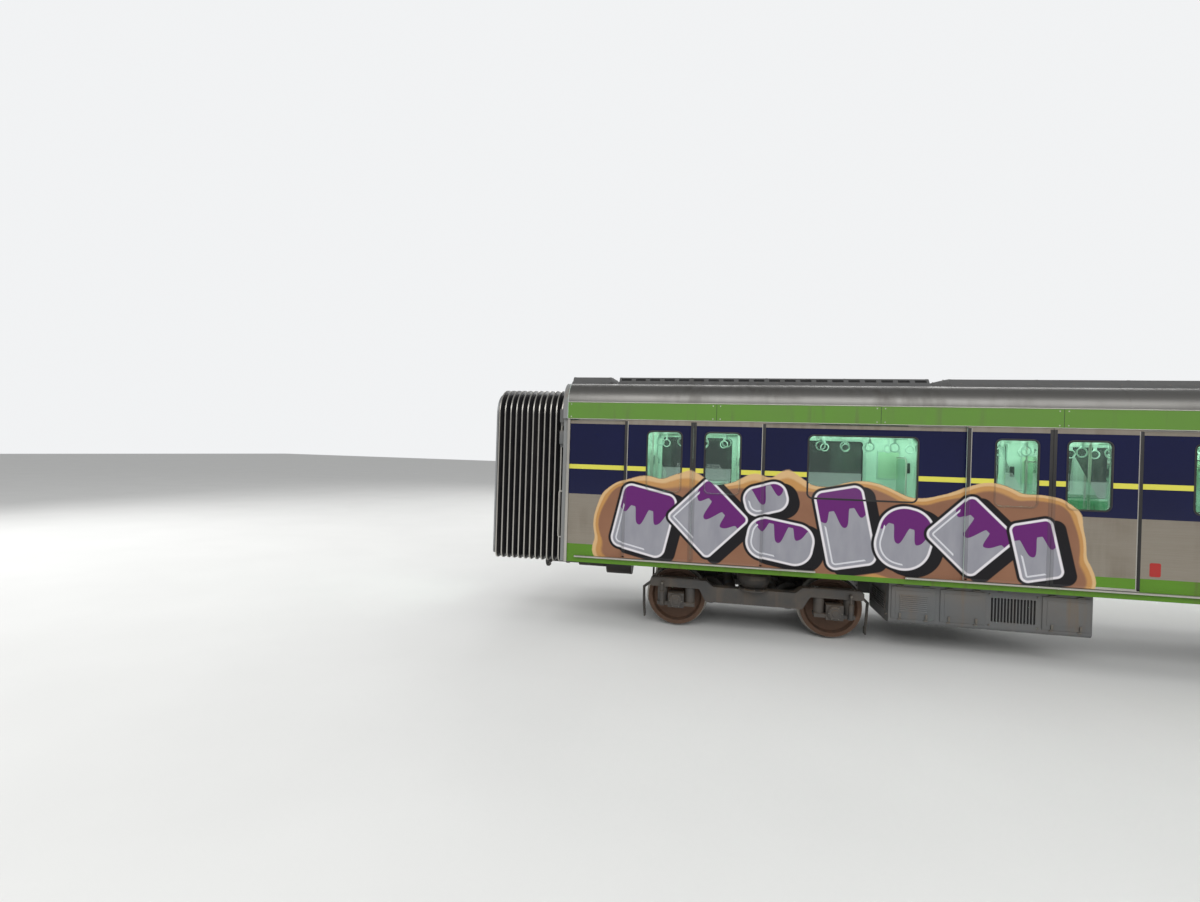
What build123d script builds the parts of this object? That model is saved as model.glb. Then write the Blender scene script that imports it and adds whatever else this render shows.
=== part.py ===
"""Intermediate metro car: hollow body with four sliding double doors a side, wide gangway bellows on one end,
semi-permanent couplers and two motor bogies. Millimetres.

The origin is under the middle of the body, midway between the rails, at the level of the wheels' flange tips.
+X runs along the car, away from the bellows end. -Y is the near side, +Y the far side, +Z is up.
"""

import os
from math import atan2, cos, degrees, radians, sin, tan

from build123d import *

os.makedirs("parts", exist_ok=True)

# Track and wheelsets
GAUGE = 1435
FLANGE_H = 28
FLANGE_T = 30
WHEEL_R = 430
WHEEL_W = 135
HUB_R = 130
WEB_T = 28
RIM_T = 62
AXLE_R = 86
JOURNAL_R = 65
DISC_R = 300
DISC_T = 110
DISC_Y = 480
RAIL_GAP = 7.5
RUNNING = 0.06

# Body shell, with its heights above the rails
BODY_L = 17200
SKIN_Y = 1360
WALL_T = 70
SOLE_H = 950
FLOOR_H = 1100
FLOOR_T = 68
END_T = 70
LEDGE_H = 3030
COVER_H = 3050
CANT_H = 3290
CANT_T = 48
TRACK_DEPTH = 60
HEADER_DEPTH = 120
HEADER_H = 76
COVER_T = 5
SHOULDER_R = 300
ROOF_SLOPE = 6
ROOF_T = 60
CEILING_RISE = 70
CEILING_T = 20
PILLAR_W = 42
PILLAR_T = 26
PILLAR_INSET = 60

# Doors and windows, with their heights above the rails
END_BAY = 1895
DOORS = 4
DOORWAY_W = 1480
DOORWAY_H = 1850
LEAF_W = 972
LEAF_T = 34
LEAF_GAP = 6
LEAF_SPLIT = 6
LEAF_H = 1060
LEAF_LAP = 10
LEAF_COVER_GAP = 7
LEAF_TRAVEL = 700
LEAF_WINDOW_W = 490
LEAF_WINDOW_X = 160
WINDOW_W = 1380
SILL_WINDOW_H = 2030
HEAD_WINDOW_H = 2890
WINDOW_R = 70
GLASS_T = 12
TRACK_BASE_W = 36
TRACK_BASE_H = 6
TRACK_BAR_W = 12
TRACK_BAR_H = 22
ROLLER_R = 25
ROLLER_T = 20
SEAT_GAP = 0.3
HANGER_T = 8
HANGER_W = 90
HANGER_SHARES = (0.2, 0.8)
SILL_T = 24
SILL_DROP = 8

# Roof equipment: its section, fans and vents, then the lengths of covers, air units and gaps, from the ends
# inwards
UNIT_BASE_Y = 1080
UNIT_RIDGE_Y = 1020
UNIT_TOP_Y = 940
UNIT_RIDGE_H = 44
UNIT_H = 118
UNIT_CROWN = 26
UNIT_LEDGE_W = 22
FAN_R = 330
FAN_DEPTH = 60
FAN_HUB = 0.25
AIR_FANS = 4
FAN_BLADES = 7
BLADE_W = 88
BLADE_T = 6
BLADE_PITCH = 25
BLADE_TIP_GAP = 25
AIR_VENTS = 20
VENT_L = 150
VENT_H = 44
VENT_DEPTH = 10
UNIT_INSET = 30
END_COVER_L = 590
COVER_GAP = 130
AIR_UNIT_L = 4310
INNER_GAP = 250
MIDDLE_GAP = 120

# Gangway
CAR_GAP = 1130
GANGWAY_W = 1400
GANGWAY_H = 2050
GANGWAY_R = 120
PORTAL_T = 25
PORTAL_INSET = 60
BELLOWS_SIDE = 510
BELLOWS_RISE = 350
BELLOWS_DROP = 200
BELLOWS_TOP_R = 380
BELLOWS_LOW_R = 110
PLEATS = 12
PLEAT_DEPTH = 62
PLEAT_CREST = 18
RIB_T = 6
RIB_FIT = 0.3
BRIDGE_T = 22
BRIDGE_L = 1000

# Underframe and couplers
SOLEBAR_W = 90
BEAM_W = 140
CROSS_BEAMS = 13
PAD_L = 160
PAD_T = 16
PAD_INSET = 1600
COUPLER_H = 720
COUPLER_R = 62
DRAFT_R = 95
MUFF_R = 150
MUFF_T = 32
MUFF_PCD = 230
MUFF_HOLES = 8
MUFF_HOLE_R = 11
ANCHOR_INSET = 700
ANCHOR_L = 420
ANCHOR_W = 380

# Bogies
BOGIE_INSET = 2800
WHEELBASE = 2200
FRAME_Y = 1010
FRAME_W = 170
FRAME_L = 2960
FRAME_TOP_Z = 770
FRAME_DROP_Z = 690
FRAME_END_Z = 650
FRAME_BELLY_Z = 470
TRANSOM_X = 310
TRANSOM_R = 88
TRANSOM_Z = 590
PIVOT_R = 75
PIVOT_HOUSING_R = 150
PIVOT_Z = 500
PIVOT_END_Z = 560
BOX_L = 230
BOX_W = 190
BOX_H = 210
BOX_COVER_R = 100
BOX_COVER_T = 28
SPRING_X = 200
SPRING_R = 72
AIR_SPRING_R = 235
MOTOR_X = 590
MOTOR_R = 205
MOTOR_L = 520
GEAR_Y = 370
GEAR_W = 150
GEAR_R = 235
GEAR_CLEAR = 6
DAMPER_R = 30
DAMPER_ROD_R = 16
DAMPER_EYE_R = 22
DAMPER_SHARE = 0.6
DAMPER_GAP = 15
BRAKE_CLEAR = 6
BRAKE_ARM_T = 24
BRAKE_BODY_H = 140
BRAKE_BODY_L = 350
BRAKE_PAD_W = 80
BRAKE_PAD_LAP = 110

# Under-floor equipment
EQUIPMENT = (
    # name, end, distance from that end's bogie, length, side, width, depth, cooling slots, their middle's share
    ("traction_inverter", -1, 1750, 2400, -1, 900, 560, 14, 0.125),
    ("auxiliary_converter", -1, 1750, 1800, 1, 900, 540, 0, 0),
    ("battery_box", 1, 2800, 1500, -1, 750, 500, 0, 0),
    ("compressor", 1, 1750, 800, -1, 800, 470, 16, 0),
)
COOLING_PITCH = 38
COOLING_SLOT_W = 24
COOLING_DEPTH = 60
COOLING_SHARE = 0.56
EQUIPMENT_Y = 1230
RESERVOIR_R = 190
RESERVOIR_L = 1250
RESERVOIR_FROM_BOGIE = 2700
RESERVOIR_PITCH = 1350
RESERVOIR_Y = 1010
RESERVOIR_DROP = 30
STRAP_W = 60
BRACKET_L = 480
STRAP_SHARES = (-0.3, 0.3)

# Inside
SEAT_H = 430
SEAT_D = 440
SEAT_BACK_H = 900
SEAT_T = 36
SEAT_CLEAR = 12
BENCH_MARGIN = 285
END_BENCH_MARGIN = 100
POLE_R = 17
POLE_Y = 760
RAIL_POLE_GAP = 5
HANDRAIL_DROP = 190
RAIL_INSET = 440
RAIL_HANGERS = 12
LIGHT_W = 150
LIGHT_H = 36
LIGHT_Y = 560

RAIL_Z = FLANGE_H
AXLE_Z = RAIL_Z + WHEEL_R
SOLE_Z = RAIL_Z + SOLE_H
FLOOR_Z = RAIL_Z + FLOOR_H
LEDGE_Z = RAIL_Z + LEDGE_H
COVER_Z = RAIL_Z + COVER_H
CANT_Z = RAIL_Z + CANT_H
CEILING_Z = FLOOR_Z + GANGWAY_H + CEILING_RISE
HANDRAIL_Z = CEILING_Z - HANDRAIL_DROP
LEAF_Z = RAIL_Z + LEAF_H
LEAF_TOP_Z = COVER_Z + LEAF_LAP
SILL_WINDOW_Z = RAIL_Z + SILL_WINDOW_H
HEAD_WINDOW_Z = RAIL_Z + HEAD_WINDOW_H
BELLOWS_Y = GANGWAY_W / 2 + BELLOWS_SIDE
BELLOWS_TOP_Z = FLOOR_Z + GANGWAY_H + BELLOWS_RISE
BELLOWS_Z = FLOOR_Z - BELLOWS_DROP
COUPLER_Z = RAIL_Z + COUPLER_H
BEAM_H = FLOOR_Z - FLOOR_T - SOLE_Z
BODY_END = BODY_L / 2
WALL_END = BODY_END - END_T
BOGIE_X = BODY_END - BOGIE_INSET
ANCHOR_X = BODY_END - ANCHOR_INSET
DOOR_PITCH = (BODY_L - 2 * END_BAY) / (DOORS - 1)
COUPLING_X = BODY_END + CAR_GAP / 2
COVER_Y = SKIN_Y + LEAF_GAP + LEAF_T + LEAF_COVER_GAP + COVER_T
INNER_Y = SKIN_Y - WALL_T
TRACK_Y = SKIN_Y - TRACK_DEPTH
HEADER_Y = SKIN_Y - HEADER_DEPTH
DOORWAY_TOP = FLOOR_Z + DOORWAY_H
DOOR_XS = [(i - (DOORS - 1) / 2) * DOOR_PITCH for i in range(DOORS)]
WINDOW_XS = [(a + b) / 2 for a, b in zip(DOOR_XS, DOOR_XS[1:])]
LEAF_Y = SKIN_Y + LEAF_GAP
TRACK_L = 2 * (LEAF_SPLIT / 2 + LEAF_W + LEAF_TRAVEL)
BAR_Y = TRACK_Y + TRACK_DEPTH / 2 + 10
BAR_TOP_Z = LEDGE_Z + TRACK_BASE_H + TRACK_BAR_H
CROWN_Y = COVER_Y - SHOULDER_R
CROWN_CENTRE_Z = CANT_Z - CROWN_Y * tan(radians(90 - ROOF_SLOPE))
CROWN_R = SHOULDER_R + CROWN_Y / sin(radians(ROOF_SLOPE))
ROOF_TOP_Z = CROWN_CENTRE_Z + CROWN_R
BELLOWS_L = CAR_GAP - 2 * PORTAL_T
SIDES = (("near", -1), ("far", 1))
ENDS = (("left", -1), ("right", 1))


def save(piece, name):
    """Labels a finished piece and writes it to its own file."""
    piece.part.label = name
    export_step(piece.part, f"parts/{name}.step")


def crown_z(y, rise=0.0):
    """Height of the roof's crown arc at a distance y from the middle, raised by rise."""
    r = CROWN_R + rise
    return CROWN_CENTRE_Z + (r * r - y * y) ** 0.5


def roof_line(inset=0.0):
    """Lines of the roof from one cantrail over the crown to the other, inset from the outer skin."""
    r = SHOULDER_R - inset
    top = radians(90 - ROOF_SLOPE)
    foot = (CROWN_Y + r, CANT_Z)
    mid = (CROWN_Y + r * cos(top / 2), CANT_Z + r * sin(top / 2))
    end = (CROWN_Y + r * cos(top), CANT_Z + r * sin(top))
    ThreePointArc(foot, mid, end)
    ThreePointArc(end, (0, ROOF_TOP_Z - inset), (-end[0], end[1]))
    ThreePointArc((-end[0], end[1]), (-mid[0], mid[1]), (-foot[0], foot[1]))
    return foot


def gangway_sketch(mode):
    """The way through the end walls and gangway: rounded above, square at the floor."""
    with Locations((0, FLOOR_Z + GANGWAY_H / 2)):
        RectangleRounded(GANGWAY_W, GANGWAY_H, GANGWAY_R, mode=mode)
    with Locations((0, FLOOR_Z + GANGWAY_R)):
        Rectangle(GANGWAY_W, 2 * GANGWAY_R, mode=mode)


def mirrored(piece, about):
    """A new part that is the mirror image of a finished one."""
    with BuildPart() as image:
        mirror(piece.part, about=about)
    return image


# Underframe: solebars, headstocks and cross beams under the floor, with four jacking pads
with BuildPart() as underframe:
    beam_z = SOLE_Z + BEAM_H / 2
    solebar_y = INNER_Y - SOLEBAR_W / 2
    with Locations((0, solebar_y, beam_z), (0, -solebar_y, beam_z)):
        Box(2 * WALL_END, SOLEBAR_W, BEAM_H)
    beam_span = 2 * WALL_END - BEAM_W
    beam_xs = [-beam_span / 2 + i * beam_span / (CROSS_BEAMS - 1) for i in range(CROSS_BEAMS)]
    with Locations(*[(x, 0, beam_z) for x in beam_xs]):
        Box(BEAM_W, 2 * INNER_Y, BEAM_H)
    with Locations(*[(s * BOGIE_X, 0, beam_z) for s in (-1, 1)]):
        Box(4 * BEAM_W, 2 * INNER_Y, BEAM_H)
    draft_sill_l = WALL_END - BOGIE_X
    with Locations(*[(s * (BOGIE_X + draft_sill_l / 2), 0, beam_z) for s in (-1, 1)]):
        Box(draft_sill_l, ANCHOR_W, BEAM_H)
    pad_x = BOGIE_X - PAD_INSET
    with Locations(*[(i * pad_x, j * solebar_y, SOLE_Z - PAD_T / 2) for i in (-1, 1) for j in (-1, 1)]):
        Box(PAD_L, SOLEBAR_W, PAD_T)
save(underframe, "underframe")

# Pivot pins under the underframe, one for each bogie
with BuildPart() as pivot_pins:
    with BuildSketch(Plane.XY.offset(PIVOT_END_Z)):
        with Locations(*[(s * BOGIE_X, 0) for s in (-1, 1)]):
            Circle(PIVOT_R)
    extrude(amount=SOLE_Z - PIVOT_END_Z)
save(pivot_pins, "pivot_pins")

# Floor panel from wall to wall
with BuildPart() as floor:
    with Locations((0, 0, FLOOR_Z - FLOOR_T / 2)):
        Box(2 * WALL_END, 2 * INNER_Y, FLOOR_T)
save(floor, "floor")

# Side wall: a sole rail below, panels between the doorways with window openings cut through, and above them
# the pressed header with a ledge for the door track
PANEL_ENDS = [-WALL_END] + [x + s * DOORWAY_W / 2 for x in DOOR_XS for s in (-1, 1)] + [WALL_END]
with BuildPart() as side_wall_far:
    with Locations((0, SKIN_Y - WALL_T / 2, (SOLE_Z + FLOOR_Z - SEAT_GAP) / 2)):
        Box(2 * WALL_END, WALL_T, FLOOR_Z - SEAT_GAP - SOLE_Z)
    with BuildSketch(Plane.XZ.offset(-SKIN_Y)):
        for panel_start, panel_end in zip(PANEL_ENDS[::2], PANEL_ENDS[1::2]):
            with Locations(((panel_start + panel_end) / 2, (FLOOR_Z + DOORWAY_TOP) / 2)):
                Rectangle(panel_end - panel_start, DOORWAY_TOP - FLOOR_Z)
        with Locations(*[(x, (SILL_WINDOW_Z + HEAD_WINDOW_Z) / 2) for x in WINDOW_XS]):
            RectangleRounded(WINDOW_W, HEAD_WINDOW_Z - SILL_WINDOW_Z, WINDOW_R, mode=Mode.SUBTRACT)
    extrude(amount=WALL_T)
    with BuildSketch(Plane.YZ.offset(-WALL_END)):
        with BuildLine():
            Polyline(
                (INNER_Y, DOORWAY_TOP + SEAT_GAP),
                (SKIN_Y, DOORWAY_TOP + SEAT_GAP),
                (SKIN_Y, LEDGE_Z),
                (TRACK_Y, LEDGE_Z),
                (TRACK_Y, CANT_Z - CANT_T),
                (COVER_Y - COVER_T, CANT_Z - CANT_T),
                (COVER_Y - COVER_T, CANT_Z),
                (HEADER_Y, CANT_Z),
                (HEADER_Y, LEDGE_Z - HEADER_H),
                (INNER_Y, LEDGE_Z - HEADER_H),
                close=True,
            )
        make_face()
    extrude(amount=2 * WALL_END)
save(side_wall_far, "side_wall_far")
side_wall_near = mirrored(side_wall_far, Plane.XZ)
save(side_wall_near, "side_wall_near")

# Fixed window panes, flush in the side walls
with BuildPart() as window_glass:
    with BuildSketch(Plane.XZ.offset(-SKIN_Y)):
        with Locations(*[(x, (SILL_WINDOW_Z + HEAD_WINDOW_Z) / 2) for x in WINDOW_XS]):
            RectangleRounded(WINDOW_W, HEAD_WINDOW_Z - SILL_WINDOW_Z, WINDOW_R)
    extrude(amount=GLASS_T)
    mirror(about=Plane.XZ)
save(window_glass, "window_glass")

# Roof shell, as thick as skin, insulation and lining together
with BuildPart() as roof:
    with BuildSketch(Plane.YZ.offset(-WALL_END)):
        with BuildLine():
            foot = roof_line()
            Line((-foot[0], foot[1]), foot)
        make_face()
        with BuildLine():
            inner_foot = roof_line(ROOF_T)
            Line((-inner_foot[0], inner_foot[1]), inner_foot)
        make_face(mode=Mode.SUBTRACT)
    extrude(amount=2 * WALL_END)
save(roof, "roof")

# End walls close the body's section, with the gangway opening cut through
with BuildPart() as end_walls:
    for wall_x in (-BODY_END, WALL_END):
        with BuildSketch(Plane.YZ.offset(wall_x)):
            with BuildLine():
                roof_line()
                Polyline(
                    (-COVER_Y, CANT_Z),
                    (-COVER_Y, COVER_Z),
                    (-SKIN_Y, COVER_Z),
                    (-SKIN_Y, SOLE_Z),
                    (SKIN_Y, SOLE_Z),
                    (SKIN_Y, COVER_Z),
                    (COVER_Y, COVER_Z),
                    (COVER_Y, CANT_Z),
                )
            make_face()
            gangway_sketch(Mode.SUBTRACT)
        extrude(amount=END_T)
save(end_walls, "end_walls")

# Bright pillars on the four corners of the sides
with BuildPart() as corner_pillars:
    pillar_x = BODY_END - PILLAR_INSET - PILLAR_W / 2
    with BuildSketch(Plane.XY.offset(SOLE_Z)):
        with Locations(*[(i * pillar_x, j * (SKIN_Y + PILLAR_T / 2)) for i in (-1, 1) for j in (-1, 1)]):
            RectangleRounded(PILLAR_W, PILLAR_T, PILLAR_T / 4)
    extrude(amount=COVER_Z - SOLE_Z)
save(corner_pillars, "corner_pillars")

# Cantrail covers: the long plates outside the door tracks
with BuildPart() as cantrail_covers:
    with Locations(*[(0, s * (COVER_Y - COVER_T / 2), (COVER_Z + CANT_Z) / 2) for s in (-1, 1)]):
        Box(2 * WALL_END, COVER_T, CANT_Z - COVER_Z)
save(cantrail_covers, "cantrail_covers")

# Door tracks: a bar on a base strip, standing on each side wall's ledge
with BuildPart() as door_tracks:
    with BuildSketch(Plane.YZ.offset(-TRACK_L / 2)):
        with Locations((BAR_Y, LEDGE_Z + TRACK_BASE_H / 2)):
            Rectangle(TRACK_BASE_W, TRACK_BASE_H)
        with Locations((BAR_Y, LEDGE_Z + TRACK_BASE_H + TRACK_BAR_H / 2)):
            Rectangle(TRACK_BAR_W, TRACK_BAR_H)
    extrude(amount=TRACK_L)
one_track = door_tracks.part
with BuildPart() as door_tracks:
    with Locations(*[(x, 0, 0) for x in DOOR_XS]):
        add(one_track)
    mirror(about=Plane.XZ)
save(door_tracks, "door_tracks")

# Sills: the bright guide strips below the leaves
with BuildPart() as door_sills:
    sill_top = LEAF_Z - SILL_DROP
    sill_w = COVER_Y - SKIN_Y
    sill_y = SKIN_Y + sill_w / 2
    with Locations(*[(x, s * sill_y, sill_top - SILL_T / 2) for x in DOOR_XS for s in (-1, 1)]):
        Box(TRACK_L, sill_w, SILL_T)
    guide = door_sills.edges().filter_by(Axis.X).group_by(Axis.Z)[-1]
    chamfer(guide.filter_by(lambda e: abs(e.center().Y) > sill_y), SILL_T / 4)
save(door_sills, "door_sills")

# Door leaf: panel with its window cut, hung from the track by two arms with rollers
with BuildPart() as leaf:
    with BuildSketch(Plane.XZ.offset(-LEAF_Y - LEAF_T)):
        with Locations((LEAF_SPLIT / 2 + LEAF_W / 2, (LEAF_Z + LEAF_TOP_Z) / 2)):
            Rectangle(LEAF_W, LEAF_TOP_Z - LEAF_Z)
        window_x = LEAF_WINDOW_X + LEAF_WINDOW_W / 2
        with Locations((window_x, (SILL_WINDOW_Z + HEAD_WINDOW_Z) / 2)):
            RectangleRounded(LEAF_WINDOW_W, HEAD_WINDOW_Z - SILL_WINDOW_Z, WINDOW_R, mode=Mode.SUBTRACT)
    extrude(amount=LEAF_T)
    roller_z = BAR_TOP_Z + SEAT_GAP + ROLLER_R
    hanger_top = roller_z + ROLLER_R + 2 * HANGER_T
    for share in HANGER_SHARES:
        hanger_x = LEAF_SPLIT / 2 + share * LEAF_W
        with Locations((hanger_x, LEAF_Y + HANGER_T, (LEAF_TOP_Z + hanger_top) / 2 - HANGER_T)):
            Box(HANGER_W, HANGER_T, hanger_top - LEAF_TOP_Z + 2 * HANGER_T)
        with Locations((hanger_x, (BAR_Y + LEAF_Y) / 2 + HANGER_T / 2, hanger_top - HANGER_T / 2)):
            Box(HANGER_W, LEAF_Y - BAR_Y + 2 * HANGER_T, HANGER_T)
        with BuildSketch(Plane.XZ.offset(-BAR_Y - ROLLER_T / 2)):
            with Locations((hanger_x, roller_z)):
                Circle(ROLLER_R)
        extrude(amount=ROLLER_T)
        with Locations((hanger_x, BAR_Y, (roller_z + hanger_top) / 2)):
            Box(HANGER_T, ROLLER_T, hanger_top - roller_z)
for wall, side in SIDES:
    for number, door_x in enumerate(DOOR_XS, 1):
        for hand, way in ENDS:
            with BuildPart() as door_leaf:
                add(leaf.part)
            if way < 0:
                door_leaf = mirrored(door_leaf, Plane.YZ)
            if side < 0:
                door_leaf = mirrored(door_leaf, Plane.XZ)
            with BuildPart() as placed_leaf:
                with Locations((door_x, 0, 0)):
                    add(door_leaf.part)
            save(placed_leaf, f"door_{wall}_{number}_{hand}")

# Ceiling panel and its two light strips
with BuildPart() as ceiling:
    with Locations((0, 0, CEILING_Z + CEILING_T / 2)):
        Box(2 * WALL_END, 2 * HEADER_Y, CEILING_T)
save(ceiling, "ceiling")
with BuildPart() as ceiling_lights:
    with BuildSketch(Plane.YZ.offset(-WALL_END + END_T)):
        for s in (-1, 1):
            with BuildLine():
                Polyline(
                    (s * LIGHT_Y - LIGHT_W / 2, CEILING_Z),
                    (s * LIGHT_Y - LIGHT_W / 2 + LIGHT_H, CEILING_Z - LIGHT_H),
                    (s * LIGHT_Y + LIGHT_W / 2 - LIGHT_H, CEILING_Z - LIGHT_H),
                    (s * LIGHT_Y + LIGHT_W / 2, CEILING_Z),
                    close=True,
                )
            make_face()
    extrude(amount=2 * (WALL_END - END_T))
save(ceiling_lights, "ceiling_lights")

# Roof covers and air units: one ridged section along the roof, in the air units with bladed fans in wells and
# with a row of vents in each slope
air_start = BODY_END - UNIT_INSET - END_COVER_L - COVER_GAP
middle_start = air_start - AIR_UNIT_L - INNER_GAP
ROOF_COVERS = (
    # outer x, inner x
    (BODY_END - UNIT_INSET, BODY_END - UNIT_INSET - END_COVER_L),
    (middle_start, MIDDLE_GAP / 2),
)
AIR_UNITS = ((air_start, air_start - AIR_UNIT_L),)
ROOF_LINES = (
    # name, its stretches on the +X half, fans in each, vents along each side of it
    ("roof_covers", ROOF_COVERS, 0, 0),
    ("air_units", AIR_UNITS, AIR_FANS, AIR_VENTS),
)
unit_base_z = crown_z(UNIT_BASE_Y, SEAT_GAP)
unit_ridge_z = unit_base_z + UNIT_RIDGE_H
unit_top_z = unit_base_z + UNIT_H
unit_ledge_y = UNIT_RIDGE_Y - UNIT_LEDGE_W
blade_l = FAN_R * (1 - FAN_HUB / 2) - BLADE_TIP_GAP
vent_y = (unit_ledge_y + UNIT_TOP_Y) / 2
vent_z = (unit_ridge_z + unit_top_z) / 2
vent_lean = degrees(atan2(unit_ledge_y - UNIT_TOP_Y, unit_top_z - unit_ridge_z))
for name, stretches, fans, vents in ROOF_LINES:
    with BuildPart() as units:
        for stop, start in stretches:
            with BuildSketch(Plane.YZ.offset(start)):
                with BuildLine():
                    Polyline(
                        (UNIT_BASE_Y, unit_base_z),
                        (UNIT_RIDGE_Y, unit_ridge_z),
                        (unit_ledge_y, unit_ridge_z),
                        (UNIT_TOP_Y, unit_top_z),
                    )
                    top_edge = (UNIT_TOP_Y, unit_top_z)
                    ThreePointArc(top_edge, (0, unit_top_z + UNIT_CROWN), (-UNIT_TOP_Y, unit_top_z))
                    Polyline(
                        (-UNIT_TOP_Y, unit_top_z),
                        (-unit_ledge_y, unit_ridge_z),
                        (-UNIT_RIDGE_Y, unit_ridge_z),
                        (-UNIT_BASE_Y, unit_base_z),
                    )
                    base_edge = (UNIT_BASE_Y, unit_base_z)
                    ThreePointArc((-UNIT_BASE_Y, unit_base_z), (0, crown_z(0, SEAT_GAP)), base_edge)
                make_face()
            extrude(amount=stop - start)
            fan_xs = [start + (i + 0.5) * (stop - start) / fans for i in range(fans)]
            for fan_x in fan_xs:
                with BuildSketch(Plane.XY.offset(unit_top_z - FAN_DEPTH)):
                    with Locations((fan_x, 0)):
                        Circle(FAN_R)
                        Circle(FAN_HUB * FAN_R, mode=Mode.SUBTRACT)
                extrude(amount=FAN_DEPTH + 2 * UNIT_CROWN, mode=Mode.SUBTRACT)
                with Locations((fan_x, 0, unit_top_z - FAN_DEPTH / 2)):
                    with PolarLocations(FAN_R - BLADE_TIP_GAP - blade_l / 2, FAN_BLADES):
                        Box(blade_l, BLADE_W, BLADE_T, rotation=(BLADE_PITCH, 0, 0))
            vent_xs = [start + (i + 0.5) * (stop - start) / vents for i in range(vents)]
            for vent_x in vent_xs:
                for s in (-1, 1):
                    with Locations(Location((vent_x, s * vent_y, vent_z), (s * vent_lean, 0, 0))):
                        Box(VENT_L, 2 * VENT_DEPTH, VENT_H, mode=Mode.SUBTRACT)
        mirror(about=Plane.YZ)
    save(units, name)


def ring_line(inset=0.0):
    """Line round the bellows and portals: upright sides, large top corners, small bottom ones."""
    half = BELLOWS_Y - inset
    top = BELLOWS_TOP_Z - inset
    low = BELLOWS_Z + inset
    top_r = BELLOWS_TOP_R - inset
    low_r = BELLOWS_LOW_R - inset
    corners = ((half, low), (half, top), (-half, top), (-half, low))
    FilletPolyline(*corners, radius=(low_r, top_r, top_r, low_r), close=True)


# Portal frames: on both ends of the body, and the loose frame at the far end of the bellows
with BuildPart() as portal_frames:
    for portal_x in (-BODY_END - CAR_GAP, -BODY_END - PORTAL_T, BODY_END):
        with BuildSketch(Plane.YZ.offset(portal_x)):
            with BuildLine():
                ring_line(PORTAL_INSET)
            make_face()
            gangway_sketch(Mode.SUBTRACT)
        extrude(amount=PORTAL_T)
save(portal_frames, "portal_frames")

# Bellows: one ruled skin through the pleats, around the way through
with BuildPart() as bellows:
    bellows_start = -BODY_END - CAR_GAP + PORTAL_T
    pitch = BELLOWS_L / PLEATS
    sections = [(0.0, PLEAT_DEPTH)]
    for i in range(PLEATS):
        middle = (i + 0.5) * pitch
        sections.append((middle - PLEAT_CREST / 2, 0.0))
        sections.append((middle + PLEAT_CREST / 2, 0.0))
        sections.append(((i + 1) * pitch, PLEAT_DEPTH))
    for x, inset in sections:
        with BuildSketch(Plane.YZ.offset(bellows_start + x)):
            with BuildLine():
                ring_line(inset)
            make_face()
    loft(ruled=True)
    with BuildSketch(Plane.YZ.offset(bellows_start)):
        gangway_sketch(Mode.ADD)
    extrude(amount=BELLOWS_L, mode=Mode.SUBTRACT)
save(bellows, "bellows")

# Bright ribs clamped round the crests of the pleats
with BuildPart() as bellows_ribs:
    for i in range(PLEATS):
        with BuildSketch(Plane.YZ.offset(bellows_start + (i + 0.5) * pitch - PLEAT_CREST / 2)):
            with BuildLine():
                ring_line(-RIB_T)
            make_face()
            with BuildLine():
                ring_line(-RIB_FIT)
            make_face(mode=Mode.SUBTRACT)
        extrude(amount=PLEAT_CREST)
save(bellows_ribs, "bellows_ribs")

# Bridge plate: the floor through the bellows
with BuildPart() as bridge_plate:
    with Locations((-BODY_END - CAR_GAP / 2, 0, FLOOR_Z + BRIDGE_T / 2)):
        Box(BRIDGE_L, GANGWAY_W - 2 * BRIDGE_T, BRIDGE_T)
    chamfer(bridge_plate.edges().filter_by(Axis.Y).group_by(Axis.Z)[-1], BRIDGE_T * 0.7)
save(bridge_plate, "bridge_plate")

# Couplers: anchor under the headstock, draft gear, bar and the bolted muff flange, one at each end
COUPLER_STEPS = (
    # start x, end x, radius
    (ANCHOR_X - ANCHOR_L / 2, ANCHOR_X + ANCHOR_L / 2, ANCHOR_W / 2),
    (ANCHOR_X, BODY_END, DRAFT_R),
    (ANCHOR_X, COUPLING_X, COUPLER_R),
    (COUPLING_X - MUFF_T, COUPLING_X, MUFF_R),
)
with BuildPart() as couplers:
    with Locations((ANCHOR_X, 0, (COUPLER_Z + SOLE_Z) / 2)):
        Box(ANCHOR_L, ANCHOR_W, SOLE_Z - COUPLER_Z)
    for start, stop, radius in COUPLER_STEPS:
        with BuildSketch(Plane.YZ.offset(start)):
            with Locations((0, COUPLER_Z)):
                Circle(radius)
        extrude(amount=stop - start)
    with BuildSketch(Plane.YZ.offset(COUPLING_X - 2 * MUFF_T)):
        with Locations((0, COUPLER_Z)):
            with PolarLocations(MUFF_PCD / 2, MUFF_HOLES):
                Circle(MUFF_HOLE_R)
    extrude(amount=3 * MUFF_T, mode=Mode.SUBTRACT)
    mirror(about=Plane.YZ)
save(couplers, "couplers")

# Equipment boxes hung under the underframe, with rounded lower edges and cooling slots in the faces of two
for name, end, away, length, side, width, depth, slots, share in EQUIPMENT:
    with BuildPart() as box:
        box_x = end * (BOGIE_X - away - length / 2)
        with Locations((box_x, side * (EQUIPMENT_Y - width / 2), SOLE_Z - depth / 2)):
            Box(length, width, depth)
        lower = box.edges().filter_by(Axis.X).group_by(Axis.Z)[0]
        fillet(lower, depth / 10)
        slot_xs = [box_x + share * length + (i - (slots - 1) / 2) * COOLING_PITCH for i in range(slots)]
        for slot_x in slot_xs:
            with Locations((slot_x, side * (EQUIPMENT_Y - COOLING_DEPTH / 2), SOLE_Z - depth / 2)):
                Box(COOLING_SLOT_W, COOLING_DEPTH, COOLING_SHARE * depth, mode=Mode.SUBTRACT)
    save(box, name)

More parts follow.
